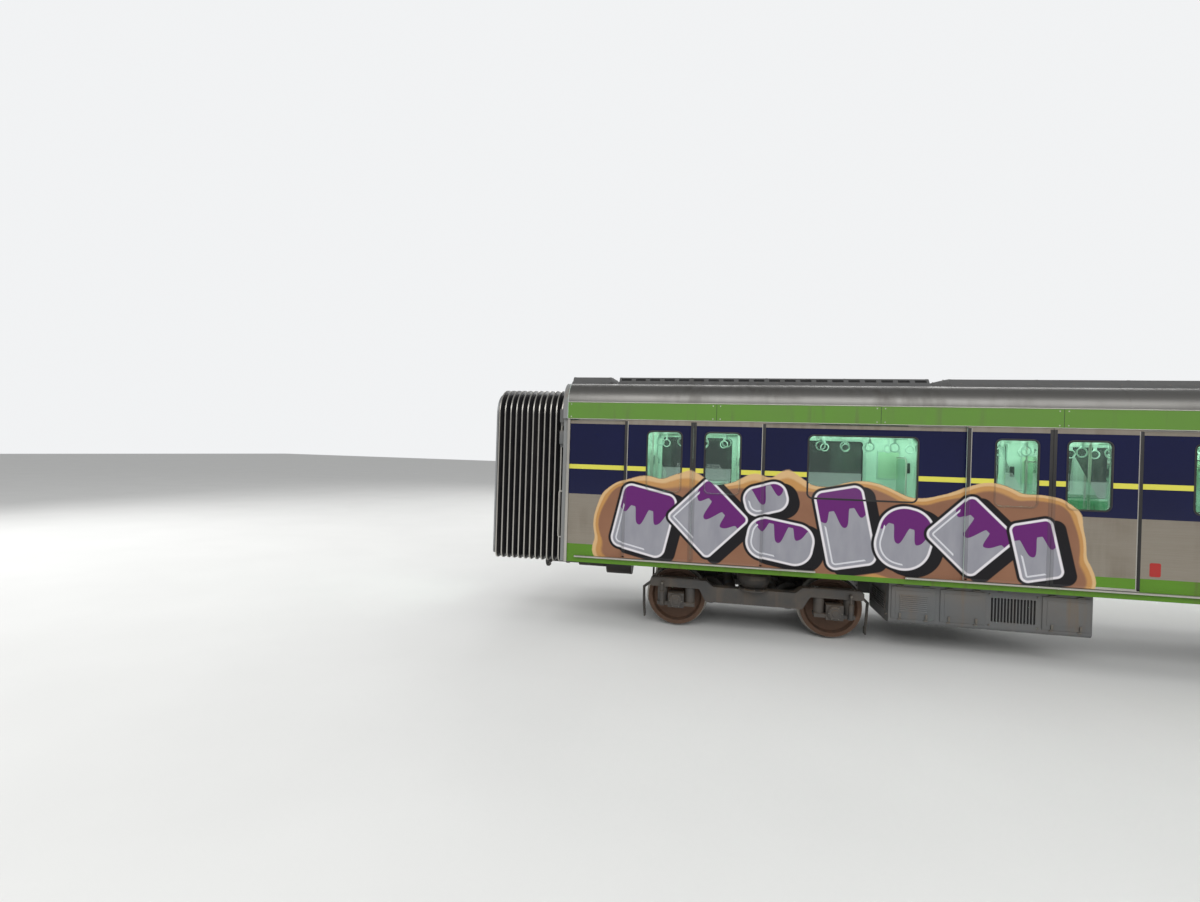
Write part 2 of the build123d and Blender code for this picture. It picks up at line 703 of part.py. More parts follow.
# Air reservoirs: domed cylinders hung by two straps each
with BuildPart() as tank:
    with BuildSketch():
        with BuildLine():
            half_l = RESERVOIR_L / 2
            Polyline(
                (-half_l, 0),
                (-half_l, RESERVOIR_R / 2),
                (-half_l + RESERVOIR_R / 6, RESERVOIR_R * 0.85),
                (-half_l + RESERVOIR_R / 2, RESERVOIR_R),
                (half_l - RESERVOIR_R / 2, RESERVOIR_R),
                (half_l - RESERVOIR_R / 6, RESERVOIR_R * 0.85),
                (half_l, RESERVOIR_R / 2),
                (half_l, 0),
                close=True,
            )
        make_face()
    revolve(axis=Axis.X)
    with Locations(*[(share * RESERVOIR_L, 0, (RESERVOIR_R + RESERVOIR_DROP) / 2) for share in STRAP_SHARES]):
        Box(STRAP_W, RESERVOIR_R, RESERVOIR_R + RESERVOIR_DROP)
    with Locations(*[(share * RESERVOIR_L, 0, RESERVOIR_R + RESERVOIR_DROP / 2) for share in STRAP_SHARES]):
        Box(STRAP_W, BRACKET_L, RESERVOIR_DROP)
with BuildPart() as air_reservoirs:
    tank_z = SOLE_Z - RESERVOIR_R - RESERVOIR_DROP
    tank_x = BOGIE_X - RESERVOIR_FROM_BOGIE
    with Locations(*[(tank_x - i * RESERVOIR_PITCH, RESERVOIR_Y, tank_z) for i in range(2)]):
        add(tank.part)
save(air_reservoirs, "air_reservoirs")

# Benches along the sides: a curved shell of one thickness, long between doors and short at the ends
BENCHES = [(x, DOOR_PITCH - DOORWAY_W - 2 * BENCH_MARGIN) for x in WINDOW_XS]
last_door_end = max(DOOR_XS) + DOORWAY_W / 2
end_bench_x = (last_door_end + WALL_END) / 2
end_bench_l = WALL_END - last_door_end - 2 * END_BENCH_MARGIN
BENCHES += [(s * end_bench_x, end_bench_l) for s in (-1, 1)]
with BuildPart() as seats:
    for bench_x, bench_l in BENCHES:
        with BuildSketch(Plane.YZ.offset(bench_x - bench_l / 2)):
            back_y = INNER_Y - SEAT_CLEAR
            front_y = back_y - SEAT_D
            with BuildLine():
                Polyline(
                    (back_y, FLOOR_Z + SEAT_H - SEAT_T),
                    (back_y, FLOOR_Z + SEAT_BACK_H),
                    (back_y - SEAT_T, FLOOR_Z + SEAT_BACK_H),
                    (back_y - 2 * SEAT_T, FLOOR_Z + SEAT_H + SEAT_T),
                    (back_y - 3 * SEAT_T, FLOOR_Z + SEAT_H),
                    (front_y + SEAT_T, FLOOR_Z + SEAT_H + SEAT_T / 2),
                    (front_y, FLOOR_Z + SEAT_H),
                    (front_y, FLOOR_Z + SEAT_H - SEAT_T),
                    (back_y - SEAT_D / 2, FLOOR_Z + SEAT_H - 2 * SEAT_T),
                    (back_y - SEAT_D / 3, FLOOR_Z),
                    (back_y - SEAT_D / 3 + SEAT_T, FLOOR_Z),
                    (back_y - SEAT_D / 3 + SEAT_T, FLOOR_Z + SEAT_H - 2 * SEAT_T),
                    close=True,
                )
            make_face()
        extrude(amount=bench_l)
    mirror(about=Plane.XZ)
save(seats, "seats")

# Poles beside the doorways, and overhead rails beside them, hung from the ceiling
with BuildPart() as grab_rails:
    rail_l = 2 * (WALL_END - RAIL_INSET)
    rail_y = POLE_Y - 2 * POLE_R - RAIL_POLE_GAP
    with BuildSketch(Plane.YZ.offset(-rail_l / 2)):
        with Locations((-rail_y, HANDRAIL_Z), (rail_y, HANDRAIL_Z)):
            Circle(POLE_R)
    extrude(amount=rail_l)
    hanger_xs = [(i / (RAIL_HANGERS - 1) - 0.5) * (rail_l - 4 * POLE_R) for i in range(RAIL_HANGERS)]
    with BuildSketch(Plane.XY.offset(HANDRAIL_Z)):
        with Locations(*[(x, s * rail_y) for x in hanger_xs for s in (-1, 1)]):
            Circle(POLE_R / 2)
    extrude(amount=CEILING_Z - HANDRAIL_Z)
    pole_xs = [x + j * (DOORWAY_W / 2 + 2 * POLE_R) for x in DOOR_XS for j in (-1, 1)]
    with BuildSketch(Plane.XY.offset(FLOOR_Z)):
        with Locations(*[(x, s * POLE_Y) for x in pole_xs for s in (-1, 1)]):
            Circle(POLE_R)
    extrude(amount=CEILING_Z - FLOOR_Z)
save(grab_rails, "grab_rails")

# Wheelsets: axle with its journals and brake disc, and two wheels pressed on it
WHEEL_X = [i * BOGIE_X + j * WHEELBASE / 2 for i in (-1, 1) for j in (-1, 1)]
back_y = GAUGE / 2 - RAIL_GAP - FLANGE_T
journal_start = FRAME_Y - BOX_W / 2 - 10
axle_end = FRAME_Y + BOX_W / 2 - 10
with BuildPart() as wheel:
    with BuildSketch(Plane.YZ):
        flange_r = WHEEL_R + FLANGE_H
        rim_r = WHEEL_R - RIM_T
        web_y = back_y + WHEEL_W / 2
        with BuildLine():
            Polyline(
                (back_y, AXLE_R),
                (back_y, HUB_R),
                (web_y - WEB_T / 2, HUB_R + WEB_T),
                (web_y - WEB_T / 2, rim_r - WEB_T),
                (back_y, rim_r),
                (back_y, flange_r - FLANGE_T / 3),
                (back_y + FLANGE_T / 3, flange_r),
                (back_y + FLANGE_T * 2 / 3, flange_r),
                (back_y + 1.2 * FLANGE_T, WHEEL_R),
                (back_y + WHEEL_W, WHEEL_R - 4),
                (back_y + WHEEL_W, rim_r),
                (web_y + WEB_T / 2, rim_r - WEB_T),
                (web_y + WEB_T / 2, HUB_R + WEB_T),
                (back_y + WHEEL_W, HUB_R),
                (back_y + WHEEL_W, AXLE_R),
                (back_y, AXLE_R),
            )
        make_face()
    revolve(axis=Axis.Y)
    mirror(about=Plane.XZ)
with BuildPart() as axle:
    with BuildSketch(Plane.YZ):
        with BuildLine():
            Polyline(
                (0, 0),
                (axle_end, 0),
                (axle_end, JOURNAL_R),
                (journal_start, JOURNAL_R),
                (journal_start - AXLE_R + JOURNAL_R, AXLE_R),
                (DISC_Y + DISC_T / 2, AXLE_R),
                (DISC_Y + DISC_T / 2, DISC_R),
                (DISC_Y - DISC_T / 2, DISC_R),
                (DISC_Y - DISC_T / 2, AXLE_R),
                (0, AXLE_R),
                close=True,
            )
        make_face()
        with BuildLine():
            Polyline(
                (0, 0),
                (-axle_end, 0),
                (-axle_end, JOURNAL_R),
                (-journal_start, JOURNAL_R),
                (-journal_start + AXLE_R - JOURNAL_R, AXLE_R),
                (0, AXLE_R),
                close=True,
            )
        make_face()
    revolve(axis=Axis.Y)
for number, x in enumerate(WHEEL_X, 1):
    with BuildPart() as wheels_here:
        with Locations((x, 0, AXLE_Z)):
            add(wheel.part)
    save(wheels_here, f"wheels_{number}")
    with BuildPart() as axle_here:
        with Locations((x, 0, AXLE_Z)):
            add(axle.part)
    save(axle_here, f"axle_{number}")

# Bogie frame: two dropped side frames, two tubular transoms, the pivot housing and a calliper for each disc
with BuildPart() as frame:
    belly_x = WHEELBASE / 2 - BOX_L - SPRING_X
    end_x = FRAME_L / 2
    with BuildSketch(Plane.XZ.offset(-FRAME_Y - FRAME_W / 2)):
        with BuildLine():
            Polyline(
                (-end_x, FRAME_END_Z),
                (-belly_x - SPRING_X / 2, FRAME_END_Z),
                (-belly_x, FRAME_BELLY_Z),
                (belly_x, FRAME_BELLY_Z),
                (belly_x + SPRING_X / 2, FRAME_END_Z),
                (end_x, FRAME_END_Z),
                (end_x, FRAME_TOP_Z),
                (belly_x, FRAME_TOP_Z),
                (belly_x - SPRING_X / 2, FRAME_DROP_Z),
                (-belly_x + SPRING_X / 2, FRAME_DROP_Z),
                (-belly_x, FRAME_TOP_Z),
                (-end_x, FRAME_TOP_Z),
                close=True,
            )
        make_face()
        fillet(vertices(), FRAME_W / 5)
    extrude(amount=FRAME_W)
    mirror(about=Plane.XZ)
    with BuildSketch(Plane.XZ.offset(-FRAME_Y)):
        with Locations((-TRANSOM_X, TRANSOM_Z), (TRANSOM_X, TRANSOM_Z)):
            Circle(TRANSOM_R)
    extrude(amount=2 * FRAME_Y)
    with Locations((0, 0, TRANSOM_Z)):
        Box(2 * TRANSOM_X, 2.4 * PIVOT_HOUSING_R, TRANSOM_R)
    with BuildSketch(Plane.XY.offset(PIVOT_Z)):
        Circle(PIVOT_HOUSING_R)
    extrude(amount=FRAME_DROP_Z - PIVOT_Z)
    with BuildSketch(Plane.XY.offset(PIVOT_Z - PIVOT_R)):
        Circle(PIVOT_R + RUNNING)
    extrude(amount=FRAME_TOP_Z, mode=Mode.SUBTRACT)
    brake_w = DISC_T + 2 * BRAKE_CLEAR + 2 * BRAKE_ARM_T
    brake_x = TRANSOM_X + BRAKE_BODY_L
    pad_start = WHEELBASE / 2 - DISC_R
    for i in (-1, 1):
        with Locations((i * (TRANSOM_X + brake_x) / 2, DISC_Y, TRANSOM_Z)):
            Box(BRAKE_BODY_L, brake_w, BRAKE_BODY_H)
        for arm_start in (DISC_Y + brake_w / 2, DISC_Y - brake_w / 2 + BRAKE_ARM_T):
            with BuildSketch(Plane.XZ.offset(-arm_start)):
                with BuildLine():
                    Polyline(
                        (i * (brake_x - BRAKE_PAD_W), TRANSOM_Z + BRAKE_BODY_H / 3),
                        (i * pad_start, TRANSOM_Z + BRAKE_BODY_H / 4),
                        (i * (pad_start + BRAKE_PAD_LAP), TRANSOM_Z - BRAKE_BODY_H / 6),
                        (i * (pad_start + BRAKE_PAD_LAP), AXLE_Z - BRAKE_PAD_W / 2),
                        (i * (pad_start + BRAKE_PAD_LAP - BRAKE_PAD_W), AXLE_Z - BRAKE_PAD_W / 2),
                        (i * (pad_start + BRAKE_PAD_LAP - BRAKE_PAD_W), TRANSOM_Z - BRAKE_BODY_H / 3),
                        (i * (brake_x - BRAKE_PAD_W), TRANSOM_Z - BRAKE_BODY_H / 3),
                        close=True,
                    )
                make_face()
            extrude(amount=BRAKE_ARM_T)

# Axle boxes with their side lugs, rubber spring stacks and a damper each, its upper eye pinned at the frame
frame_face = FRAME_Y + FRAME_W / 2
damper_y = frame_face + DAMPER_GAP + DAMPER_R
damper_z = AXLE_Z - BOX_H / 4
damper_top = (FRAME_END_Z + FRAME_TOP_Z) / 2
with BuildPart() as boxes:
    for i in (-1, 1):
        axle_x = i * WHEELBASE / 2
        with Locations((axle_x, FRAME_Y, AXLE_Z)):
            Box(BOX_L, BOX_W, BOX_H)
        with Locations((axle_x, FRAME_Y, AXLE_Z - BOX_H / 4)):
            Box(2 * (SPRING_X + SPRING_R), BOX_W - 20, BOX_H / 4)
        with BuildSketch(Plane.XZ.offset(-FRAME_Y - BOX_W / 2)):
            with Locations((axle_x, AXLE_Z)):
                Circle(BOX_COVER_R)
        extrude(amount=-BOX_COVER_T)
        with BuildSketch(Plane.XY.offset(AXLE_Z - BOX_H / 8)):
            with Locations(*[(axle_x + j * SPRING_X, FRAME_Y) for j in (-1, 1)]):
                Circle(SPRING_R)
        extrude(amount=FRAME_END_Z - AXLE_Z + BOX_H / 8)
        damper_x = axle_x + i * SPRING_X
        with Locations((damper_x, (FRAME_Y + damper_y) / 2, damper_z)):
            Box(2 * DAMPER_R, damper_y - FRAME_Y, BOX_H / 4)
        for radius, share in ((DAMPER_R, DAMPER_SHARE), (DAMPER_ROD_R, 1)):
            with BuildSketch(Plane.XY.offset(damper_z)):
                with Locations((damper_x, damper_y)):
                    Circle(radius)
            extrude(amount=share * (damper_top - damper_z))
        with BuildSketch(Plane.XZ.offset(-damper_y - DAMPER_ROD_R)):
            with Locations((damper_x, damper_top)):
                Circle(DAMPER_EYE_R)
        extrude(amount=damper_y + DAMPER_ROD_R - frame_face - SEAT_GAP)
        with BuildSketch(Plane.XZ.offset(-FRAME_Y + BOX_W / 2 + 1)):
            with Locations((axle_x, AXLE_Z)):
                Circle(JOURNAL_R + RUNNING)
        extrude(amount=-(axle_end + 5 - FRAME_Y + BOX_W / 2 + 1), mode=Mode.SUBTRACT)
    mirror(about=Plane.XZ)

# Air springs on the side frames, rolled bellows between two plates
with BuildPart() as springs:
    spring_top = SOLE_Z - SEAT_GAP
    spring_mid = (FRAME_DROP_Z + spring_top) / 2
    with BuildSketch(Plane.YZ):
        with BuildLine():
            Polyline(
                (FRAME_Y, FRAME_DROP_Z),
                (FRAME_Y + 0.6 * AIR_SPRING_R, FRAME_DROP_Z),
                (FRAME_Y + 0.6 * AIR_SPRING_R, FRAME_DROP_Z + 30),
                (FRAME_Y + 0.8 * AIR_SPRING_R, FRAME_DROP_Z + 60),
                (FRAME_Y + 0.96 * AIR_SPRING_R, spring_mid - 30),
                (FRAME_Y + AIR_SPRING_R, spring_mid + 20),
                (FRAME_Y + 0.96 * AIR_SPRING_R, spring_top - 70),
                (FRAME_Y + 0.8 * AIR_SPRING_R, spring_top - 30),
                (FRAME_Y + 0.9 * AIR_SPRING_R, spring_top - 22),
                (FRAME_Y + 0.9 * AIR_SPRING_R, spring_top),
                (FRAME_Y, spring_top),
                (FRAME_Y, FRAME_DROP_Z),
            )
        make_face()
    revolve(axis=Axis((0, FRAME_Y, 0), (0, 0, 1)))
    mirror(about=Plane.XZ)

# Traction motors hung on the transoms, each with a gear case round its axle
with BuildPart() as motors:
    for i in (-1, 1):
        with BuildSketch(Plane.XZ.offset(GEAR_Y - GEAR_W / 2)):
            with Locations((i * MOTOR_X, AXLE_Z)):
                Circle(MOTOR_R)
        extrude(amount=-MOTOR_L)
        with BuildSketch(Plane.XZ.offset(GEAR_Y - GEAR_W / 2)):
            with Locations((i * WHEELBASE / 2, AXLE_Z)):
                Circle(GEAR_R)
            with Locations((i * MOTOR_X, AXLE_Z)):
                Circle(0.6 * MOTOR_R)
            make_hull()
            with Locations((i * WHEELBASE / 2, AXLE_Z)):
                Circle(AXLE_R + GEAR_CLEAR, mode=Mode.SUBTRACT)
        extrude(amount=GEAR_W)
        with Locations((i * (MOTOR_X + TRANSOM_X) / 2, 0, TRANSOM_Z)):
            Box(MOTOR_X - TRANSOM_X, 2 * GEAR_W, TRANSOM_R)
    with BuildSketch(Plane.XZ.offset(-FRAME_Y)):
        with Locations((-TRANSOM_X, TRANSOM_Z), (TRANSOM_X, TRANSOM_Z)):
            Circle(TRANSOM_R)
    extrude(amount=2 * FRAME_Y, mode=Mode.SUBTRACT)

BOGIE_PIECES = (
    # name, piece
    ("bogie_frame", frame),
    ("axle_boxes", boxes),
    ("air_springs", springs),
    ("traction_motors", motors),
)
for end, side in ENDS:
    for name, piece in BOGIE_PIECES:
        with BuildPart() as here:
            with Locations((side * BOGIE_X, 0, 0)):
                add(piece.part)
        save(here, f"{name}_{end}")
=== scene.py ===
"""Finishes and fittings of the metro car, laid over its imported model. Metres, in the model's own frame:
+X away from the bellows end, -Y the near side, +Z up, the wheels' flange tips at z = 0.
"""

from math import cos, pi, radians, sin

import bmesh
import bpy
from mathutils import Matrix, Vector


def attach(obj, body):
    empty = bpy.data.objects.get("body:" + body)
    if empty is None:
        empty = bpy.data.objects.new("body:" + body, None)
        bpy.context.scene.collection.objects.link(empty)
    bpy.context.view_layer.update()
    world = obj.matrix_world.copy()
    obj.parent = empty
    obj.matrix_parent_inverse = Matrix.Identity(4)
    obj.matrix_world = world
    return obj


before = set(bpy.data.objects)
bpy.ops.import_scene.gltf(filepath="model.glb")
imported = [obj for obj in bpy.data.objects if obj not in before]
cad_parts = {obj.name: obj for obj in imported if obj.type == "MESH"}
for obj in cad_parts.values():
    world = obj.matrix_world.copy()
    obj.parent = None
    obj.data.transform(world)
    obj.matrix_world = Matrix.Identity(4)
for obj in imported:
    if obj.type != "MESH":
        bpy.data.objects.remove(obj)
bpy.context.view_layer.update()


# Wheelsets: forged steel wheels pressed on machined axles. The treads are rolled bright by the rails, the
# webs keep a skin of rust and brake dust, and the brake disc beside one wheel is scored bright all round.
def feed(tree, inputs, *rows, **named):
    """Links or sets inputs, by rows of (number, value) or by name."""
    rows += tuple((key.replace("_", " "), value) for key, value in named.items())
    for key, value in rows:
        if isinstance(value, bpy.types.NodeSocket):
            tree.links.new(value, inputs[key])
        else:
            inputs[key].default_value = value


def step(tree, kind, *fed, out=0, settings=(), **named):
    """Adds a node to a tree, feeds its inputs in order or by name, and gives one of its outputs."""
    made = tree.nodes.new("ShaderNode" + kind)
    for key, value in dict(settings).items():
        setattr(made, key, value)
    feed(tree, made.inputs, *enumerate(fed), **named)
    return made.outputs[out]


def maths(tree, operation, *fed):
    """One sum on numbers."""
    return step(tree, "Math", *fed, settings={"operation": operation})


def plus(tree, first, second):
    """Two numbers added."""
    return maths(tree, "ADD", first, second)


def times(tree, first, second):
    """Two numbers multiplied."""
    return maths(tree, "MULTIPLY", first, second)


def vectors(tree, operation, *fed, out=0):
    """One sum on vectors."""
    return step(tree, "VectorMath", *fed, out=out, settings={"operation": operation})


def eased(tree, value, low, high):
    """0 below low, 1 above high and a soft change between."""
    settings = {"interpolation_type": "SMOOTHSTEP"}
    return step(tree, "MapRange", settings=settings, Value=value, From_Min=low, From_Max=high)


def mixed(tree, share, first, second):
    """A colour between two others."""
    made = tree.nodes.new("ShaderNodeMix")
    made.data_type = "RGBA"
    feed(tree, made.inputs, (0, share), (6, first), (7, second))
    return made.outputs[2]


def place(tree):
    """Where a point of the piece is at rest, in metres."""
    return step(tree, "TexCoord", out="Object")


def xyz(tree, vector):
    """The three numbers of a vector."""
    made = tree.nodes.new("ShaderNodeSeparateXYZ")
    feed(tree, made.inputs, (0, vector))
    return made.outputs


def noise(tree, scale, stretch=(1, 1, 1), detail=4.0):
    """Cloudy noise from 0 to 1, stretched along the axes."""
    at = vectors(tree, "MULTIPLY", place(tree), stretch)
    return step(tree, "TexNoise", Vector=at, Scale=scale, Detail=detail)


def srgb(red, green, blue):
    """A colour given as a screen shows it, from 0 to 255, in the renderer's own linear values."""
    rows = [c / 255 for c in (red, green, blue)]
    return tuple(c / 12.92 if c <= 0.04045 else ((c + 0.055) / 1.055) ** 2.4 for c in rows) + (1.0,)


def effect(name, outputs, **inputs):
    """An empty node group with named outputs, and inputs at their usual values. Gives it and its two ends."""
    tree = bpy.data.node_groups.new(name, "ShaderNodeTree")
    for key, value in inputs.items():
        kind = "Float" if isinstance(value, float) else {3: "Vector", 4: "Color"}[len(value)]
        socket = tree.interface.new_socket(name=key, in_out="INPUT", socket_type="NodeSocket" + kind)
        socket.default_value = value
    for key in outputs.split():
        kind = {"Colour": "Color", "Local": "Vector"}.get(key, "Float")
        tree.interface.new_socket(name=key, in_out="OUTPUT", socket_type="NodeSocket" + kind)
    return tree, tree.nodes.new("NodeGroupInput").outputs, tree.nodes.new("NodeGroupOutput").inputs


def used(tree, group, **named):
    """Places a node group in a material and gives its outputs."""
    made = tree.nodes.new("ShaderNodeGroup")
    made.node_tree = group
    feed(tree, made.inputs, **named)
    return made.outputs


def finish(name, **sockets):
    """A new material, with plain values set on its shader. Gives it, its tree and the shader's inputs."""
    material = bpy.data.materials.new(name)
    material.use_nodes = True
    tree = material.node_tree
    shader = tree.nodes["Principled BSDF"].inputs
    feed(tree, shader, **sockets)
    return material, tree, shader


def bumped(tree, shader, height, strength, depth):
    """Turns a height into the shader's relief, depth in metres."""
    feed(tree, shader, Normal=step(tree, "Bump", Strength=strength, Distance=depth, Height=height))


def coated(name, group, relief=None, metallic=0.0, **given):
    """A material finished by one node group alone, with its relief as (strength, depth)."""
    material, tree, shader = finish(name, Metallic=metallic)
    coat = used(tree, group, **given)
    feed(tree, shader, Base_Color=coat["Colour"], Roughness=coat["Roughness"])
    if relief:
        bumped(tree, shader, coat["Height"], *relief)
    return material


def painted(material, *names):
    """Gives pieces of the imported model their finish."""
    for name in names:
        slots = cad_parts[name].data.materials
        slots.clear()
        slots.append(material)


# Dust settles on what faces up and hangs in soft clouds, and grime runs down in thin streaks.
weathering, given, result = effect(
    "weathering", "Colour Roughness Height", Colour=(0.5, 0.5, 0.5, 1), Roughness=0.5,
    Dust=(0.2, 0.17, 0.13, 1), Amount=0.5, Streaks=0.3, Grain=3.0,
)
tree = weathering
cloud = step(tree, "TexNoise", Vector=place(tree), Scale=given["Grain"], Detail=6.0)
upward = eased(tree, xyz(tree, step(tree, "NewGeometry", out="Normal"))[2], -0.2, 0.9)
streak = noise(tree, 1.0, (9, 9, 0.7), 3.0)
lying = times(tree, eased(tree, cloud, 0.3, 0.75), plus(tree, upward, 0.25))
running = times(tree, eased(tree, streak, 0.55, 0.8), given["Streaks"])
dusty = maths(tree, "MINIMUM", plus(tree, times(tree, lying, given["Amount"]), running), 1.0)
feed(tree, result, Colour=mixed(tree, dusty, given["Colour"], given["Dust"]),
     Roughness=plus(tree, given["Roughness"], times(tree, dusty, 0.35)),
     Height=plus(tree, noise(tree, 90.0, detail=3.0), times(tree, dusty, 0.5)))

AXLE_Z = 0.458
AXLE_XS = (-6.9, -4.7, 4.7, 6.9)
TREAD_R = 0.4245
DISC_MID_Y, DISC_HALF_Y = 0.48, 0.058
DISC_MID_R, DISC_HALF_R = 0.21, 0.085
RUST = srgb(92, 66, 48)
BRAKE_DUST = srgb(70, 58, 50)
TREAD = srgb(176, 172, 165)
BARE_STEEL = srgb(120, 116, 110)
for number, axle_x in enumerate(AXLE_XS, 1):
    wheel_steel, tree, shader = finish(f"wheel_steel_{number}")
    x, y, z = xyz(tree, place(tree))
    ahead = maths(tree, "SUBTRACT", x, axle_x)
    above = maths(tree, "SUBTRACT", z, AXLE_Z)
    radius = vectors(tree, "LENGTH", step(tree, "CombineXYZ", ahead, 0.0, above), out=1)
    on_tread = maths(tree, "GREATER_THAN", radius, TREAD_R)
    on_disc = times(tree, maths(tree, "COMPARE", y, DISC_MID_Y, DISC_HALF_Y),
                    maths(tree, "COMPARE", radius, DISC_MID_R, DISC_HALF_R))
    bright = maths(tree, "MAXIMUM", on_tread, on_disc)
    worn = used(tree, weathering, Colour=RUST, Roughness=0.62, Dust=BRAKE_DUST, Amount=0.7, Grain=9.0)
    rings = step(tree, "TexNoise", Vector=step(tree, "CombineXYZ", radius, 0.0, 0.0), Scale=260.0)
    metal = mixed(tree, rings, TREAD, BARE_STEEL)
    feed(tree, shader, Base_Color=mixed(tree, bright, worn["Colour"], metal), Metallic=bright,
         Roughness=plus(tree, worn["Roughness"], times(tree, bright, -0.34)))
    bumped(tree, shader, plus(tree, worn["Height"], rings), 0.35, 0.002)
    painted(wheel_steel, f"wheels_{number}", f"axle_{number}")


# Bogies: welded box frames on rubber springs, with cast axle boxes. Everything is painted one dark grey and
# carries the line's brown dust, and bolts hold the axle box covers.
def around(middle, half):
    """The span of half to either side of the middle."""
    return middle - half, middle + half


def sided(side, ys):
    """A span of |y| on one side."""
    return [side * y for y in ys]


def block(bm, xs, ys, zs, soft=0.0, steps=2, about=None, lean=0.0):
    """Adds a box over three spans, its edges rounded by soft, leant about its middle by degrees."""
    low, high = zip(*(sorted(span) for span in (xs, ys, zs)))
    made = bmesh.ops.create_cube(bm, size=1.0)["verts"]
    for vert in made:
        vert.co = [a + (c + 0.5) * (b - a) for a, b, c in zip(low, high, vert.co)]
    if about:
        middle = (Vector(low) + Vector(high)) / 2
        bmesh.ops.rotate(bm, verts=made, cent=middle, matrix=Matrix.Rotation(radians(lean), 3, about))
    if soft:
        edges = list(dict.fromkeys(edge for vert in made for edge in vert.link_edges))
        bmesh.ops.bevel(bm, geom=edges, offset=soft, segments=steps, affect="EDGES", profile=0.5)


def skinned(bm, rings, looped=False):
    """Joins closed rings of points into a skin. Its two ends are closed, or joined to each other."""
    following = rings[1:] + rings[:1] if looped else rings[1:]
    for below, above in zip(rings, following):
        for k in range(len(below)):
            j = (k + 1) % len(below)
            bm.faces.new((below[k], below[j], above[j], above[k]))
    if not looped:
        bm.faces.new(rings[0])
        bm.faces.new(rings[-1])


def turned(bm, profile, centre, along, sides=24):
    """Adds a shape turned about an axis through centre. The profile's rows are (distance along, radius)."""
    lie = Vector(along).to_track_quat("Z", "Y").to_matrix()
    rings = []
    for reach, radius in profile:
        angles = [2 * pi * i / sides for i in range(sides)] if radius > 0 else [0.0]
        spots = [Vector((radius * cos(a), radius * sin(a), reach)) for a in angles]
        rings.append([bm.verts.new(Vector(centre) + lie @ spot) for spot in spots])
    for below, above in zip(rings, rings[1:]):
        for i in range(sides):
            j = (i + 1) % sides
            foot = [below[i % len(below)], below[j % len(below)]]
            head = [above[j % len(above)], above[i % len(above)]]
            corners = list(dict.fromkeys(foot + head))
            if len(corners) > 2:
                bm.faces.new(corners)
    for ring in (rings[0], rings[-1]):
        if len(ring) > 1:
            bm.faces.new(ring)


def collar(bm, centre, along, radii, reach, sides=32):
    """Adds a flat-faced disc, its rim stepped between two radii, over a span along its axis."""
    (inner, outer), (start, stop) = radii, reach
    turned(bm, ((start, inner), (start, outer), (stop, outer), (stop, inner)), centre, along, sides)


def bolt(bm, spot, along, size):
    """Adds a hexagon bolt head, size across, standing along the axis."""
    turned(bm, ((-0.002, size / 2), (size * 0.55, size / 2), (size * 0.65, size * 0.42)), spot, along, 6)


def bolts(bm, centre, along, circle, count, size):
    """Adds a ring of bolt heads."""
    lie = Vector(along).to_track_quat("Z", "Y").to_matrix()
    for i in range(count):
        angle = 2 * pi * i / count
        spot = Vector(centre) + lie @ Vector((circle * cos(angle), circle * sin(angle), 0))
        bolt(bm, spot, along, size)


def tube(bm, path, radius, sides=10):
    """Adds a round bar along a path of points, mitred at its bends."""
    points = [Vector(p) for p in path]
    rings = []
    side = None
    for i, point in enumerate(points):
        before = (point - points[i - 1]).normalized() if i else None
        after = (points[i + 1] - point).normalized() if i < len(points) - 1 else None
        ahead = ((before or after) + (after or before)).normalized()
        lean = 1.0 / max(0.4, ahead.dot(after or before))
        start = side or ahead.orthogonal()
        side = (start - ahead * start.dot(ahead)).normalized()
        other = ahead.cross(side)
        flat = (after or before) - ahead * ahead.dot(after or before)
        flat = flat.normalized() if flat.length > 1e-6 else None
        ring = []
        for k in range(sides):
            angle = 2 * pi * k / sides
            spoke = side * (radius * cos(angle)) + other * (radius * sin(angle))
            if flat:
                spoke += flat * (spoke.dot(flat) * (lean - 1.0))
            ring.append(bm.verts.new(point + spoke))
        rings.append(ring)
    skinned(bm, rings)


def fitted(bm, name, material, body, crease=32.0):
    """Closes a bench of mesh into one piece with its finish, smooth up to the crease angle, on a body."""
    bmesh.ops.recalc_face_normals(bm, faces=bm.faces)
    mesh = bpy.data.meshes.new(name)
    bm.to_mesh(mesh)
    bm.free()
    mesh.shade_smooth()
    mesh.set_sharp_from_angle(angle=radians(crease))
    piece = bpy.data.objects.new(name, mesh)
    bpy.context.scene.collection.objects.link(piece)
    mesh.materials.append(material)
    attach(piece, body)


DUST = srgb(112, 96, 78)
bogie_paint = coated("bogie_paint", weathering, (0.3, 0.003), Colour=srgb(62, 61, 60), Roughness=0.5,
                     Dust=DUST, Amount=0.75, Streaks=0.25, Grain=5.0)
bolt_steel = coated("bolt_steel", weathering, metallic=0.8, Colour=BARE_STEEL, Roughness=0.38, Dust=DUST,
                    Amount=0.5, Grain=14.0)
spring_rubber = coated("spring_rubber", weathering, (0.3, 0.002), Colour=srgb(30, 29, 28), Roughness=0.6,
                       Dust=DUST, Amount=0.6, Grain=7.0)

